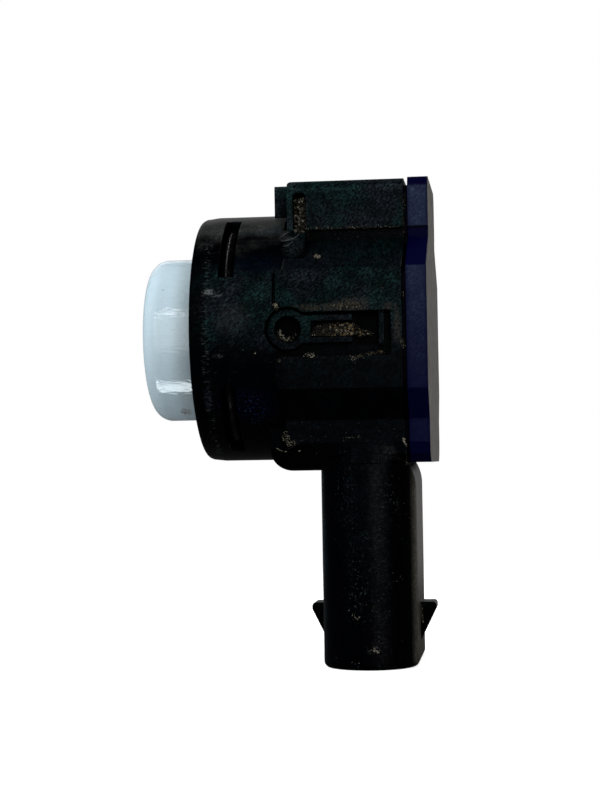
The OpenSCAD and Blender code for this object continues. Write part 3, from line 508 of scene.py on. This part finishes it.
def plain_moulding(name, first, second, lump, roughness):
    """Two close tones in soft lumps with a fine grain, for a small moulded or sintered piece."""
    material, place = new_finish(name)
    tone = cloud(place, lump, 3.0)
    base = mix(tone.step(0.3, 0.7), first, second)
    rough = roughness - 0.08 + tone * 0.16
    normal = bumped(cloud(place, GRAIN_MM), 0.3, 0.02)
    return close_finish(material, Base_Color=base, Roughness=rough, Normal=normal)


def open_foam():
    """Grey damping foam: round cells of several sizes, dark in their middles."""
    material, place = new_finish("open_foam")
    cell = place.node("TexVoronoi", inputs={"Vector": place, "Scale": 1 / (0.35 * MM)})
    base = mix(cell.step(0.1, 0.6), rgb(0.03, 0.03, 0.032), rgb(0.13, 0.13, 0.135))
    normal = bumped(cell, 0.9, 0.08)
    return close_finish(material, Base_Color=base, Roughness=0.95 - cell * 0.1, Normal=normal)


def board_laminate():
    """Green solder mask over copper tracks: raised lines along and across the board in a lighter green."""
    material, place = new_finish("board_laminate")
    across = component(place, 0)
    along = component(place, 2)
    steps = [axis * (1 / (TRACK_MM * MM)) for axis in (across, along)]
    bands = [axis.maths("FRACT", axis) for axis in steps]
    field = cloud(place, 3.5, 1.0)
    track = bands[0].step(0.42, 0.5) * field.step(0.5, 0.52)
    track = track + bands[1].step(0.42, 0.5) * field.step(0.48, 0.46)
    base = mix(track, rgb(0.008, 0.060, 0.022), rgb(0.018, 0.115, 0.040))
    rough = 0.32 + cloud(place, 0.5) * 0.1
    normal = bumped(track, 0.4, 0.03)
    return close_finish(material, Base_Color=base, Roughness=rough, Normal=normal)


def wound_copper():
    """Enamelled copper turns: fine round ridges one wire apart round the winding's axis."""
    material, place = new_finish("wound_copper")
    turn = component(place, 1) * (1 / (WIRE_MM * MM))
    ridge = turn.maths("PINGPONG", turn, 0.5) * 2
    base = mix(ridge, rgb(0.16, 0.045, 0.015), rgb(0.48, 0.17, 0.06))
    rough = 0.28 + cloud(place, 0.4) * 0.15
    normal = bumped(ridge, 0.8, 0.05)
    return close_finish(material, Base_Color=base, Roughness=rough, Normal=normal, Metallic=0.85)


def drawn_metal(name, bright, dull, roughness):
    """Plated metal drawn along its length: fine lines in tone and gloss with dull blotches."""
    material, place = new_finish(name)
    streak = stretch(place, (0.05, 0.05, 2.0))
    blotch = cloud(place, 1.2, 3.0)
    base = mix((streak * 0.5 + blotch * 0.5).step(0.35, 0.65), bright, dull)
    rough = roughness + blotch * 0.2
    normal = bumped(streak, 0.2, 0.01)
    return close_finish(material, Base_Color=base, Roughness=rough, Normal=normal, Metallic=1.0)


# Plain mouldings of the inside: finish, the nodes that have it, two tones, lump in millimetres and roughness
PLAIN_MOULDINGS = [
    ("potting_silicone", ["cup_sealant"], rgb(0.30, 0.30, 0.29), rgb(0.38, 0.38, 0.36), 1.5, 0.35),
    ("red_lead_jacket", ["signal_lead"], rgb(0.28, 0.012, 0.010), rgb(0.34, 0.018, 0.014), 0.8, 0.45),
    ("black_lead_jacket", ["ground_lead"], rgb(0.010, 0.010, 0.011), rgb(0.016, 0.016, 0.017), 0.8, 0.45),
    ("ferrite", ["transformer_core"], rgb(0.030, 0.030, 0.032), rgb(0.055, 0.055, 0.058), 0.4, 0.7),
    ("bobbin_moulding", ["transformer_bobbin"], rgb(0.42, 0.37, 0.27), rgb(0.48, 0.43, 0.32), 1.0, 0.5),
    ("capacitor_case", ["storage_capacitor"], rgb(0.52, 0.33, 0.045), rgb(0.60, 0.39, 0.06), 0.9, 0.45),
    ("capacitor_chip", ["filter_capacitors"], rgb(0.33, 0.23, 0.14), rgb(0.40, 0.29, 0.18), 0.5, 0.5),
    ("resistor_chip", ["chip_resistors"], rgb(0.020, 0.021, 0.024), rgb(0.05, 0.052, 0.056), 0.4, 0.45),
    ("chip_epoxy", ["control_chip", "protection_diode"], rgb(0.012, 0.012, 0.013), rgb(0.020, 0.020, 0.021),
     0.4, 0.55),
]

# Contact pins of the connector
PINS = ["left_pin", "centre_pin", "right_pin"]

# Metals of the inside: finish, the nodes that have it, bright and dull tone, and roughness
METALS = [
    ("silvered_ceramic", ["piezo_disc"], rgb(0.62, 0.60, 0.55), rgb(0.42, 0.40, 0.36), 0.35),
    ("solder", ["solder_joints"], rgb(0.62, 0.62, 0.61), rgb(0.45, 0.45, 0.44), 0.22),
    ("tinned_contact", PINS, rgb(0.66, 0.64, 0.58), rgb(0.50, 0.48, 0.42), 0.22),
]


def dress_nodes():
    """Gives every node of the part its finish."""
    finishes = {
        "housing": black_moulding(),
        "rear_cover": indigo_moulding(),
        "membrane_cup": white_enamel(),
        "decoupling_ring": silicone_rubber(),
        "foam_damper": open_foam(),
        "circuit_board": board_laminate(),
        "transformer_winding": wound_copper(),
    }
    for name, dressed, first, second, lump, roughness in PLAIN_MOULDINGS:
        finishes.update(dict.fromkeys(dressed, plain_moulding(name, first, second, lump, roughness)))
    for name, dressed, bright, dull, roughness in METALS:
        finishes.update(dict.fromkeys(dressed, drawn_metal(name, bright, dull, roughness)))
    for name, node in nodes.items():
        node.data.materials.clear()
        node.data.materials.append(finishes[name])


# Road dirt

def add_piece(name, points, faces, material, tint):
    """A mesh of points in metres and faces, with a tint for each point, that rides on the part."""
    mesh = bpy.data.meshes.new(name)
    mesh.from_pydata(points.reshape(-1, 3).tolist(), [], faces)
    tints = mesh.attributes.new("tint", "FLOAT", "POINT")
    tints.data.foreach_set("value", tint.ravel().astype(np.float32))
    mesh.polygons.foreach_set("use_smooth", np.ones(len(faces), bool))
    mesh.materials.append(material)
    piece = bpy.data.objects.new(name, mesh)
    bpy.context.scene.collection.objects.link(piece)
    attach(piece, "root")
    return piece


def grid_faces(numbers, flip=False):
    """Four-sided faces between neighbouring rows and columns of a grid of point numbers."""
    order = (numbers[:-1, :-1], numbers[1:, :-1], numbers[1:, 1:], numbers[:-1, 1:])
    quads = np.stack(order[::-1] if flip else order, -1)
    return quads.reshape(-1, 4).tolist()


def crumbs(name, centres, normals, radii, tints, material, rng):
    """Pebbles: globes of rings between two poles, with points moved in or out by noise.
    Each is then squashed, turned, set down on the surface and kept inside the part's box."""
    rings, spokes = 4, 7
    roughness, squash, lift = 0.16, (0.55, 1.25), 0.3
    count = len(centres)
    polar = np.linspace(0, math.pi, rings + 2)[1:-1]
    turn = np.linspace(0, 2 * math.pi, spokes, endpoint=False)
    globe = np.stack([np.outer(np.sin(polar), np.cos(turn)), np.outer(np.sin(polar), np.sin(turn)),
                      np.outer(np.cos(polar), np.ones(spokes))], -1).reshape(-1, 3)
    globe = np.vstack([globe, [[0, 0, 1], [0, 0, -1]]])
    reach = 1 + rng.normal(0, roughness, (count, len(globe), 1))
    shares = rng.uniform(*squash, (count, 1, 3))
    spins = np.linalg.qr(rng.normal(size=(count, 3, 3)))[0]
    spins *= np.sign(np.linalg.det(spins))[:, None, None]
    scale = radii[:, None, None]
    shape = np.einsum("nij,npj->npi", spins, globe[None] * reach * shares) * scale
    points = centres[:, None] + normals[:, None] * scale * lift + shape
    points = np.clip(points, np.array(cad_box[0]), np.array(cad_box[1]))
    ring_numbers = np.arange(rings * spokes).reshape(rings, spokes)
    belt = np.array(grid_faces(np.hstack([ring_numbers, ring_numbers[:, :1]])))
    top = np.full(spokes, rings * spokes)
    first, last = ring_numbers[0], ring_numbers[-1]
    caps = np.vstack([np.stack([top, first, np.roll(first, -1)], -1),
                      np.stack([top + 1, np.roll(last, -1), last], -1)])
    start = np.arange(count)[:, None, None] * len(globe)
    faces = (belt + start).reshape(-1, 4).tolist() + (caps + start).reshape(-1, 3).tolist()
    return add_piece(name, points, faces, material, np.repeat(tints, len(globe)))


def packed_bed(name, outline, floor, depth, grain, count, dryness, stained, material, rng):
    """Packed grit on a floor that faces +X, between a lower and an upper edge in z at marks in y.
    Its height is the highest of many half-round grains, brought down at its edges. A flat sheet closes it."""
    rows, columns = 120, 64
    rim_width, sunk, sheet = 0.16, 0.01, 0.03
    driest, rusty, rust_share = 0.74, (0.82, 0.95), 0.5
    marks, low, high = np.transpose(outline)
    y = np.repeat(np.linspace(marks[0], marks[-1], rows)[:, None], columns, 1)
    ragged = 0.06 * np.sin(7.3 * y + 1.1) + 0.05 * np.sin(15.1 * y + 2.0) + 0.03 * np.sin(31.0 * y)
    bottom_z = np.interp(y, marks, low)
    top_z = np.interp(y, marks, high) + ragged
    share = np.linspace(0, 1, columns)[None]
    z = bottom_z + (top_z - bottom_z) * share
    middle_y = rng.uniform(marks[0], marks[-1], count)
    reach = rng.uniform(0, 1, count) ** 1.3
    middle_z = np.interp(middle_y, marks, low) * (1 - reach)
    middle_z = middle_z + np.interp(middle_y, marks, high) * reach
    size = rng.uniform(*grain, count)
    lift = rng.uniform(0.0, 1.0, count) * (depth - size)
    apart = (y[..., None] - middle_y) ** 2 + (z[..., None] - middle_z) ** 2
    domes = np.where(apart < size ** 2, lift + np.sqrt(np.maximum(size ** 2 - apart, 0)), 0)
    owner = domes.argmax(-1)
    rim = np.clip(np.minimum(z - bottom_z, top_z - z) / rim_width, 0, 1)
    top = np.stack([floor - sunk + domes.max(-1) * rim * (2 - rim), y, z], -1)
    under_sheet = np.stack([np.full_like(y, floor - sheet), y, z], -1)
    tone = rng.uniform(0.0, 1.0, count) ** dryness * driest
    ochre = rng.uniform(size=count) < np.interp(middle_y, stained, (0.0, rust_share), left=0.0, right=0.0)
    tone = np.where(ochre, rng.uniform(*rusty, count), tone)
    numbers = np.arange(rows * columns).reshape(rows, columns)
    under = numbers + rows * columns
    loop = np.concatenate([numbers[:-1, 0], numbers[-1, :-1], numbers[:0:-1, -1], numbers[0, :0:-1]])
    loop = np.append(loop, loop[0])
    faces = grid_faces(numbers) + grid_faces(under, flip=True)
    faces += grid_faces(np.stack([loop, loop + rows * columns]))
    points = np.stack([top, under_sheet]) * MM
    return add_piece(name, points, faces, material, np.stack([tone[owner], tone[owner]]))


def fibre(name, pixels, radius, material):
    """A thin fibre: a round tube along a smooth cubic through points just above the surface."""
    sides, stations, clearance = 7, 40, 1.2
    marks = np.array([point + normal * radius * clearance for point, normal in map(seen_at, pixels)])
    known = np.linspace(0, 1, len(marks))
    along = np.linspace(0, 1, stations)
    line = np.stack([np.polyval(np.polyfit(known, marks[:, axis], 3), along) for axis in range(3)], -1)
    tangent = np.gradient(line, axis=0)
    tangent /= np.linalg.norm(tangent, axis=1, keepdims=True)
    first = np.cross(tangent, [1.0, 0.0, 0.0])
    first /= np.linalg.norm(first, axis=1, keepdims=True)
    second = np.cross(tangent, first)
    turn = np.linspace(0, 2 * math.pi, sides, endpoint=False)
    taper = (radius * np.sqrt(np.clip(1 - (2 * along - 1) ** 8, 0.04, 1)))[:, None, None]
    ring = np.cos(turn)[None, :, None] * first[:, None]
    ring = ring + np.sin(turn)[None, :, None] * second[:, None]
    points = line[:, None] + ring * taper
    numbers = np.arange(stations * sides).reshape(stations, sides)
    faces = grid_faces(np.hstack([numbers, numbers[:, :1]]))
    faces += [numbers[0][::-1].tolist(), numbers[-1].tolist()]
    return add_piece(name, points, faces, material, np.full(stations * sides, FIBRE_TINT))


# Seed of all that is random in the dirt
DIRT_SEED = 7

# Rows of crumbs: name, pixels along the row, spread in pixels, count, radii in millimetres, tints
CRUMB_ROWS = [
    ("head_edge", [(303, 229), (350, 228), (399, 226.5)], (1.0, 0.9), 190, (0.015, 0.070), (0.3, 0.68)),
    ("head_fall", [(305, 233), (350, 233), (396, 231)], (1.0, 3.0), 90, (0.010, 0.030), (0.25, 0.6)),
    ("slope_dust", [(330, 238), (362, 236), (395, 244)], (3.0, 3.0), 40, (0.010, 0.030), (0.3, 0.62)),
    ("panel_edge", [(300, 309), (325, 309), (342, 305), (364, 307)],
     (2.0, 1.3), 170, (0.012, 0.060), (0.2, 0.64)),
    ("panel_heap", [(338, 306), (348, 304), (362, 307)], (2.2, 1.9), 100, (0.020, 0.110), (0.35, 0.68)),
    ("relief_clump", [(275, 304), (277, 308)], (1.2, 1.2), 34, (0.05, 0.14), (0.45, 0.74)),
    ("hole_arc", [(278, 331), (281, 337), (286, 341), (292, 340), (297, 334)],
     (0.9, 0.9), 90, (0.02, 0.07), (0.2, 0.7)),
    ("hole_flakes", [(279, 331), (281, 336), (285, 340), (289, 338)],
     (1.0, 1.0), 44, (0.04, 0.12), (0.52, 0.75)),
    ("slot_tail", [(353, 333), (362, 335), (368, 333)], (1.6, 1.2), 60, (0.02, 0.07), (0.2, 0.75)),
    ("pocket_pale", [(305, 355), (310, 354), (315, 357)], (1.2, 1.0), 34, (0.03, 0.09), (0.5, 0.75)),
    ("pocket_knot", [(350, 355), (353, 358), (355, 362)], (0.8, 0.8), 26, (0.02, 0.06), (0.4, 0.7)),
    ("pocket_rust", [(350, 359), (365, 355), (384, 351)], (1.6, 1.0), 110, (0.015, 0.07), (0.3, 0.74)),
    ("pocket_stain", [(372, 354), (384, 351)], (1.4, 0.8), 24, (0.015, 0.05), (0.84, 1.0)),
    ("pocket_line", [(300, 357), (350, 357)], (1.5, 1.2), 50, (0.010, 0.035), (0.3, 0.6)),
    ("low_corner", [(276, 361), (281, 360), (285, 357)], (1.0, 0.9), 26, (0.015, 0.05), (0.4, 0.66)),
    ("low_edge", [(275.6, 362), (276.0, 386)], (0.3, 0.6), 30, (0.008, 0.020), (0.4, 0.6)),
    ("corner_clump", [(284, 433), (286, 440), (291, 444), (296, 442)],
     (1.5, 1.8), 150, (0.02, 0.08), (0.1, 0.68)),
    ("corner_pale", [(284, 433), (287, 437), (290, 447)], (1.2, 1.4), 60, (0.02, 0.06), (0.45, 0.72)),
    ("corner_flake", [(299, 450), (299.5, 451)], (0.4, 0.4), 5, (0.05, 0.08), (0.62, 0.75)),
    ("foot_flakes", [(345, 438), (352, 437), (361, 437)], (1.0, 0.5), 14, (0.02, 0.05), (0.5, 0.7)),
    ("tower_joint", [(392, 456), (404, 460), (414, 466)], (1.6, 1.2), 60, (0.02, 0.06), (0.1, 0.6)),
    ("joint_flakes", [(406, 462), (413, 466)], (0.9, 0.9), 18, (0.04, 0.08), (0.55, 0.75)),
    ("lug_base", [(421.5, 605), (422.3, 621)], (0.6, 1.0), 36, (0.03, 0.08), (0.3, 0.65)),
    ("seam_rust", [(403.8, 198), (403.8, 234)], (0.6, 1.0), 30, (0.015, 0.045), (0.8, 1.0)),
    ("seam_dust", [(403.5, 190), (403.5, 300)], (0.6, 1.0), 50, (0.010, 0.035), (0.2, 0.66)),
    ("seam_pale", [(403.5, 292), (403.5, 297)], (0.4, 0.5), 10, (0.03, 0.06), (0.5, 0.7)),
    ("seam_bridge", [(400, 339), (403, 343), (404, 346)], (1.2, 1.6), 46, (0.02, 0.07), (0.4, 0.7)),
    ("seam_chip", [(404, 439), (405, 443), (407, 446)], (0.4, 0.6), 20, (0.05, 0.12), (0.64, 0.75)),
    ("panel_flake", [(313.5, 256.5), (319.5, 256.5), (316.5, 259.5)],
     (0.4, 0.4), 9, (0.08, 0.16), (0.54, 0.62)),
    ("panel_specks", [(352, 200), (390, 283), (375, 296)], (4.0, 4.0), 12, (0.015, 0.045), (0.5, 0.72)),
    ("barrel_speck", [(255, 353), (255.5, 353.5)], (0.3, 0.3), 3, (0.05, 0.07), (0.6, 0.7)),
    ("tower_specks", [(346, 588), (354, 598), (360, 604), (350, 612), (358, 619)],
     (3.0, 4.0), 22, (0.012, 0.06), (0.35, 0.62)),
    ("tower_flakes", [(350, 612), (353, 616), (359, 619)], (0.9, 1.1), 9, (0.04, 0.09), (0.56, 0.64)),
    ("tower_foot", [(373, 648), (378, 652)], (0.9, 1.2), 14, (0.04, 0.11), (0.5, 0.7)),
    ("tower_upper", [(388, 470), (394, 497), (404, 508), (396, 520)],
     (3.6, 5.0), 16, (0.010, 0.05), (0.35, 0.66)),
    ("tower_side", [(396, 583), (408, 568), (372, 605), (380, 622)],
     (2.0, 3.0), 16, (0.01, 0.05), (0.35, 0.66)),
    ("tower_rim", [(335, 659), (366, 664)], (0.8, 1.0), 3, (0.04, 0.09), (0.5, 0.66)),
]

# Tint of a fibre of dried soil
FIBRE_TINT = 0.66

# One fibre and pale curls of scraped plastic: name, pixels along it, and radius in millimetres
FIBRE = ("corner_fibre", [(276.5, 448), (281, 450.5), (286, 451.5), (291, 449.5)], 0.05)
CURLS = [
    ("upper_curl", [(280.5, 237), (283, 236), (286, 234), (289, 232.5)], 0.028),
    ("middle_curl", [(281, 241.5), (287, 241), (293, 239), (300, 234)], 0.036),
    ("lower_curl", [(283, 246), (287, 246), (290, 244), (293, 242)], 0.028),
]

# Edges of the packed soil: y, lower z and upper z in millimetres
HEAD_SLOT_EDGES = [(1.12, 8.95, 12.1), (1.3, 8.93, 12.25), (2.0, 8.93, 12.3), (2.24, 8.95, 12.15)]
CLIP_SLOT_EDGES = [(3.10, -0.70, -0.10), (3.5, -0.71, 0.35), (4.6, -0.71, 0.52), (6.0, -0.71, 0.55),
                   (6.75, -0.71, 0.50)]
NOTCH_EDGES = [(6.755, -0.75, 0.48), (7.2, -0.80, 0.15), (7.8, -0.75, -0.15), (8.2, -0.62, -0.30),
               (8.4, -0.55, -0.45)]

# Packed soil: name, edges, floor x, depth, radii of grains, count, dryness, and the stretch in y with rust
PACKED_SOIL = [
    ("head_slot_soil", HEAD_SLOT_EDGES, 5.2, 0.80, (0.04, 0.15), 560, 1.15, (9, 9)),
    ("clip_slot_soil", CLIP_SLOT_EDGES, 10.3, 0.50, (0.03, 0.11), 1300, 3.4, (4.3, 6.75)),
    ("notch_soil", NOTCH_EDGES, 9.7, 0.90, (0.04, 0.14), 320, 2.4, (6.8, 7.4)),
]


def add_dirt():
    """Packed soil in the slots and the notch, crumbs where the photograph shows them, a fibre and curls."""
    rng = np.random.default_rng(DIRT_SEED)
    soil = road_soil()
    for name, edges, floor, depth, grain, count, dryness, stained in PACKED_SOIL:
        packed_bed(name, edges, floor, depth, grain, count, dryness, stained, soil, rng)
    for name, pixels, spread, count, sizes, tints in CRUMB_ROWS:
        known = np.linspace(0, 1, len(pixels))
        share = rng.uniform(0, 1, count)
        spots = np.stack([np.interp(share, known, axis) for axis in np.transpose(pixels)], -1)
        spots = spots + rng.normal(0, 1, (count, 2)) * np.array(spread)
        found = [hit for hit in map(seen_at, spots) if hit]
        centres = np.array([point for point, _ in found])
        normals = np.array([normal for _, normal in found])
        radii = (sizes[0] + (sizes[1] - sizes[0]) * rng.uniform(0, 1, len(found)) ** 2) * MM
        crumbs(name, centres, normals, radii, rng.uniform(*tints, len(found)), soil, rng)
    name, pixels, radius = FIBRE
    fibre(name, pixels, radius * MM, soil)
    tones = (rgb(0.032, 0.038, 0.041), rgb(0.070, 0.078, 0.081))
    scraped = plain_moulding("scraped_plastic", *tones, 0.2, 0.6)
    for name, pixels, radius in CURLS:
        fibre(name, pixels, radius * MM, scraped)


# Studio

def add_world():
    """White for camera and transmission rays, dim for others, with a pale backdrop in reflections only."""
    backdrop_strength, dim_strength = 0.38, 0.03
    world = bpy.data.worlds.new("studio")
    world.use_nodes = True
    world.node_tree.nodes.clear()
    tree = Signal(world.node_tree)
    way = tree.node("TexCoord", "Generated")
    behind = component(way, 0)
    above = component(way, 2)
    camera_ray = tree.node("LightPath", "Is Camera Ray")
    gloss_ray = tree.node("LightPath", "Is Glossy Ray")
    clear_ray = tree.node("LightPath", "Is Transmission Ray")
    backdrop = behind.step(-0.75, -0.98) * above.step(-0.35, 0.0) * backdrop_strength
    glow = gloss_ray * backdrop + dim_strength
    white = camera_ray.maths("MAXIMUM", camera_ray, clear_ray)
    strength = white + (1 - white) * glow
    surface = tree.node("Background", inputs={"Color": WHITE, "Strength": strength})
    tree.node("OutputWorld", inputs={"Surface": surface})
    bpy.context.scene.world = world


def aim(yaw, pitch):
    """Unit vector at a yaw round Z, counted from +X, and a pitch above the floor, both in degrees."""
    yaw, pitch = math.radians(yaw), math.radians(pitch)
    return Vector((math.cos(pitch) * math.cos(yaw), math.cos(pitch) * math.sin(yaw), math.sin(pitch)))


def soft_panel(name, width, height, radiance):
    """A rectangular lamp of an even radiance, which the camera doesn't see."""
    panel = bpy.data.lights.new(name, "AREA")
    panel.shape = "RECTANGLE"
    panel.size = width
    panel.size_y = height
    panel.energy = radiance * math.pi * width * height
    lamp = bpy.data.objects.new(name, panel)
    lamp.visible_camera = False
    bpy.context.scene.collection.objects.link(lamp)
    return lamp


def add_lamp(name, yaw, pitch, distance, width, height, radiance):
    """A soft panel that faces the part's origin."""
    lamp = soft_panel(name, width, height, radiance)
    way = aim(yaw, pitch)
    turn = way.to_track_quat("Z", "Y").to_matrix()
    lamp.matrix_world = Matrix.Translation(way * distance) @ turn.to_4x4()
    return lamp


def gloss_panel(name, receiver, yaw, pitch, distance, thick, long, radiance, long_way):
    """A small panel close to one node, long along one way, that shows only as its reflection."""
    lamp = soft_panel(name, long, thick, radiance)
    way = aim(yaw, pitch)
    middle = (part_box(receiver)[0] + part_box(receiver)[1]) / 2
    upright = way.cross(long_way).normalized()
    turn = Matrix((upright.cross(way), upright, way)).transposed()
    lamp.matrix_world = Matrix.Translation(middle + way * distance) @ turn.to_4x4()
    lamp.visible_diffuse = False
    shown_on = bpy.data.collections.new(name + "_receiver")
    shown_on.objects.link(nodes[receiver])
    lamp.light_linking.receiver_collection = shown_on
    return lamp


# Lamps: name, yaw and pitch in degrees, distance, width and height in metres, radiance, seen in gloss
LAMPS = [
    ("key", 20, 26, 0.55, 0.26, 0.46, 4.4, True),
    ("upper_back", 190, 28, 0.6, 0.5, 0.16, 0.6, True),
    ("overhead", -80, 74, 0.6, 0.80, 0.70, 0.62, False),
    ("front_side", -66, 14, 0.6, 0.36, 0.36, 4.2, False),
    ("far_fill", 205, 18, 0.6, 0.40, 0.40, 4.4, False),
    ("rear_fill", 128, 40, 0.6, 0.36, 0.3, 3.8, True),
    ("front_fill", -105, 42, 0.6, 0.36, 0.3, 4.8, False),
]
KEY_COLOUR = (1.0, 1.0, 0.99)

# Ways in which the long side of a gloss panel lies
ALONG = Vector((0.0, 1.0, 0.0))
ACROSS = Vector((1.0, 0.0, 0.0))

# Gloss panels: name, node, yaw and pitch in degrees, distance, thickness and length in metres, radiance, way
GLOSS_PANELS = [
    ("lower_gloss", "membrane_cup", -4, -64.5, 0.028, 0.0060, 0.034, 12.0, ALONG),
    ("upper_gloss", "membrane_cup", -1, 30.0, 0.028, 0.0010, 0.034, 16.0, ALONG),
    ("wide_gloss", "membrane_cup", -1, 4.5, 0.028, 0.0205, 0.034, 1.7, ALONG),
    ("upper_crest", "decoupling_ring", -90, 68, 0.10, 0.006, 0.12, 9.0, ACROSS),
    ("lower_crest", "decoupling_ring", -8, -58, 0.030, 0.0015, 0.004, 7.0, ACROSS),
]
STREAK_COLOUR = (0.88, 0.96, 1.0)


def add_lamps():
    """A key from the camera's side, a dim panel above and behind, soft fills, and panels for reflections.
    Only the pin itself blocks the light of a pin's panel, which stands under the floor."""
    lamps = {}
    for name, *panel, in_gloss in LAMPS:
        lamps[name] = add_lamp(name, *panel)
        lamps[name].visible_glossy = in_gloss
    for name, *panel in GLOSS_PANELS:
        lamps[name] = gloss_panel(name, *panel)
    lamps["key"].data.color = KEY_COLOUR
    lamps["lower_gloss"].data.color = STREAK_COLOUR
    for pin in PINS:
        glint = gloss_panel(pin + "_gloss", pin, -60, -70, 0.06, 0.08, 0.08, 1.0, ALONG)
        glint.light_linking.blocker_collection = glint.light_linking.receiver_collection


def add_floor():
    """A pale one-sided floor under the connector's rim, white to the camera apart from the part's shadow."""
    span, fade_start, fade_end, camera_glow = 1.5, 0.07, 0.16, 0.62
    mesh = bpy.data.meshes.new("floor")
    sides = [(-span, -span), (span, -span), (span, span), (-span, span)]
    mesh.from_pydata([(x, y, FLOOR_Z) for x, y in sides], [], [(0, 1, 2, 3)])
    floor = bpy.data.objects.new("floor", mesh)
    bpy.context.scene.collection.objects.link(floor)
    material = bpy.data.materials.new("pale_floor")
    material.use_nodes = True
    material.node_tree.nodes.clear()
    tree = Signal(material.node_tree)
    camera_ray = tree.node("LightPath", "Is Camera Ray")
    soft_ray = tree.node("LightPath", "Is Diffuse Ray")
    under = tree.node("NewGeometry", "Backfacing")
    place = tree.node("TexCoord", "Object")
    reach = place.node("VectorMath", "Value", inputs={0: place}, operation="LENGTH")
    tone = mix(soft_ray, rgb(0.06, 0.06, 0.06), rgb(0.36, 0.36, 0.36))
    tone = mix(camera_ray, tone, rgb(0.8, 0.8, 0.8))
    paint = tree.node("BsdfDiffuse", inputs={"Color": tone})
    glow = tree.node("Emission", inputs={"Color": WHITE, "Strength": camera_ray * camera_glow})
    lit = tree.node("AddShader", inputs={0: paint, 1: glow})
    clear = tree.node("BsdfTransparent")
    fade = under.maths("MAXIMUM", under, reach.step(fade_start, fade_end))
    surface = tree.node("MixShader", inputs={0: fade, 1: lit, 2: clear})
    tree.node("OutputMaterial", inputs={"Surface": surface})
    mesh.materials.append(material)


add_camera()
dress_nodes()
add_dirt()
add_world()
add_lamps()
add_floor()
bpy.context.scene.view_settings.view_transform = "Standard"
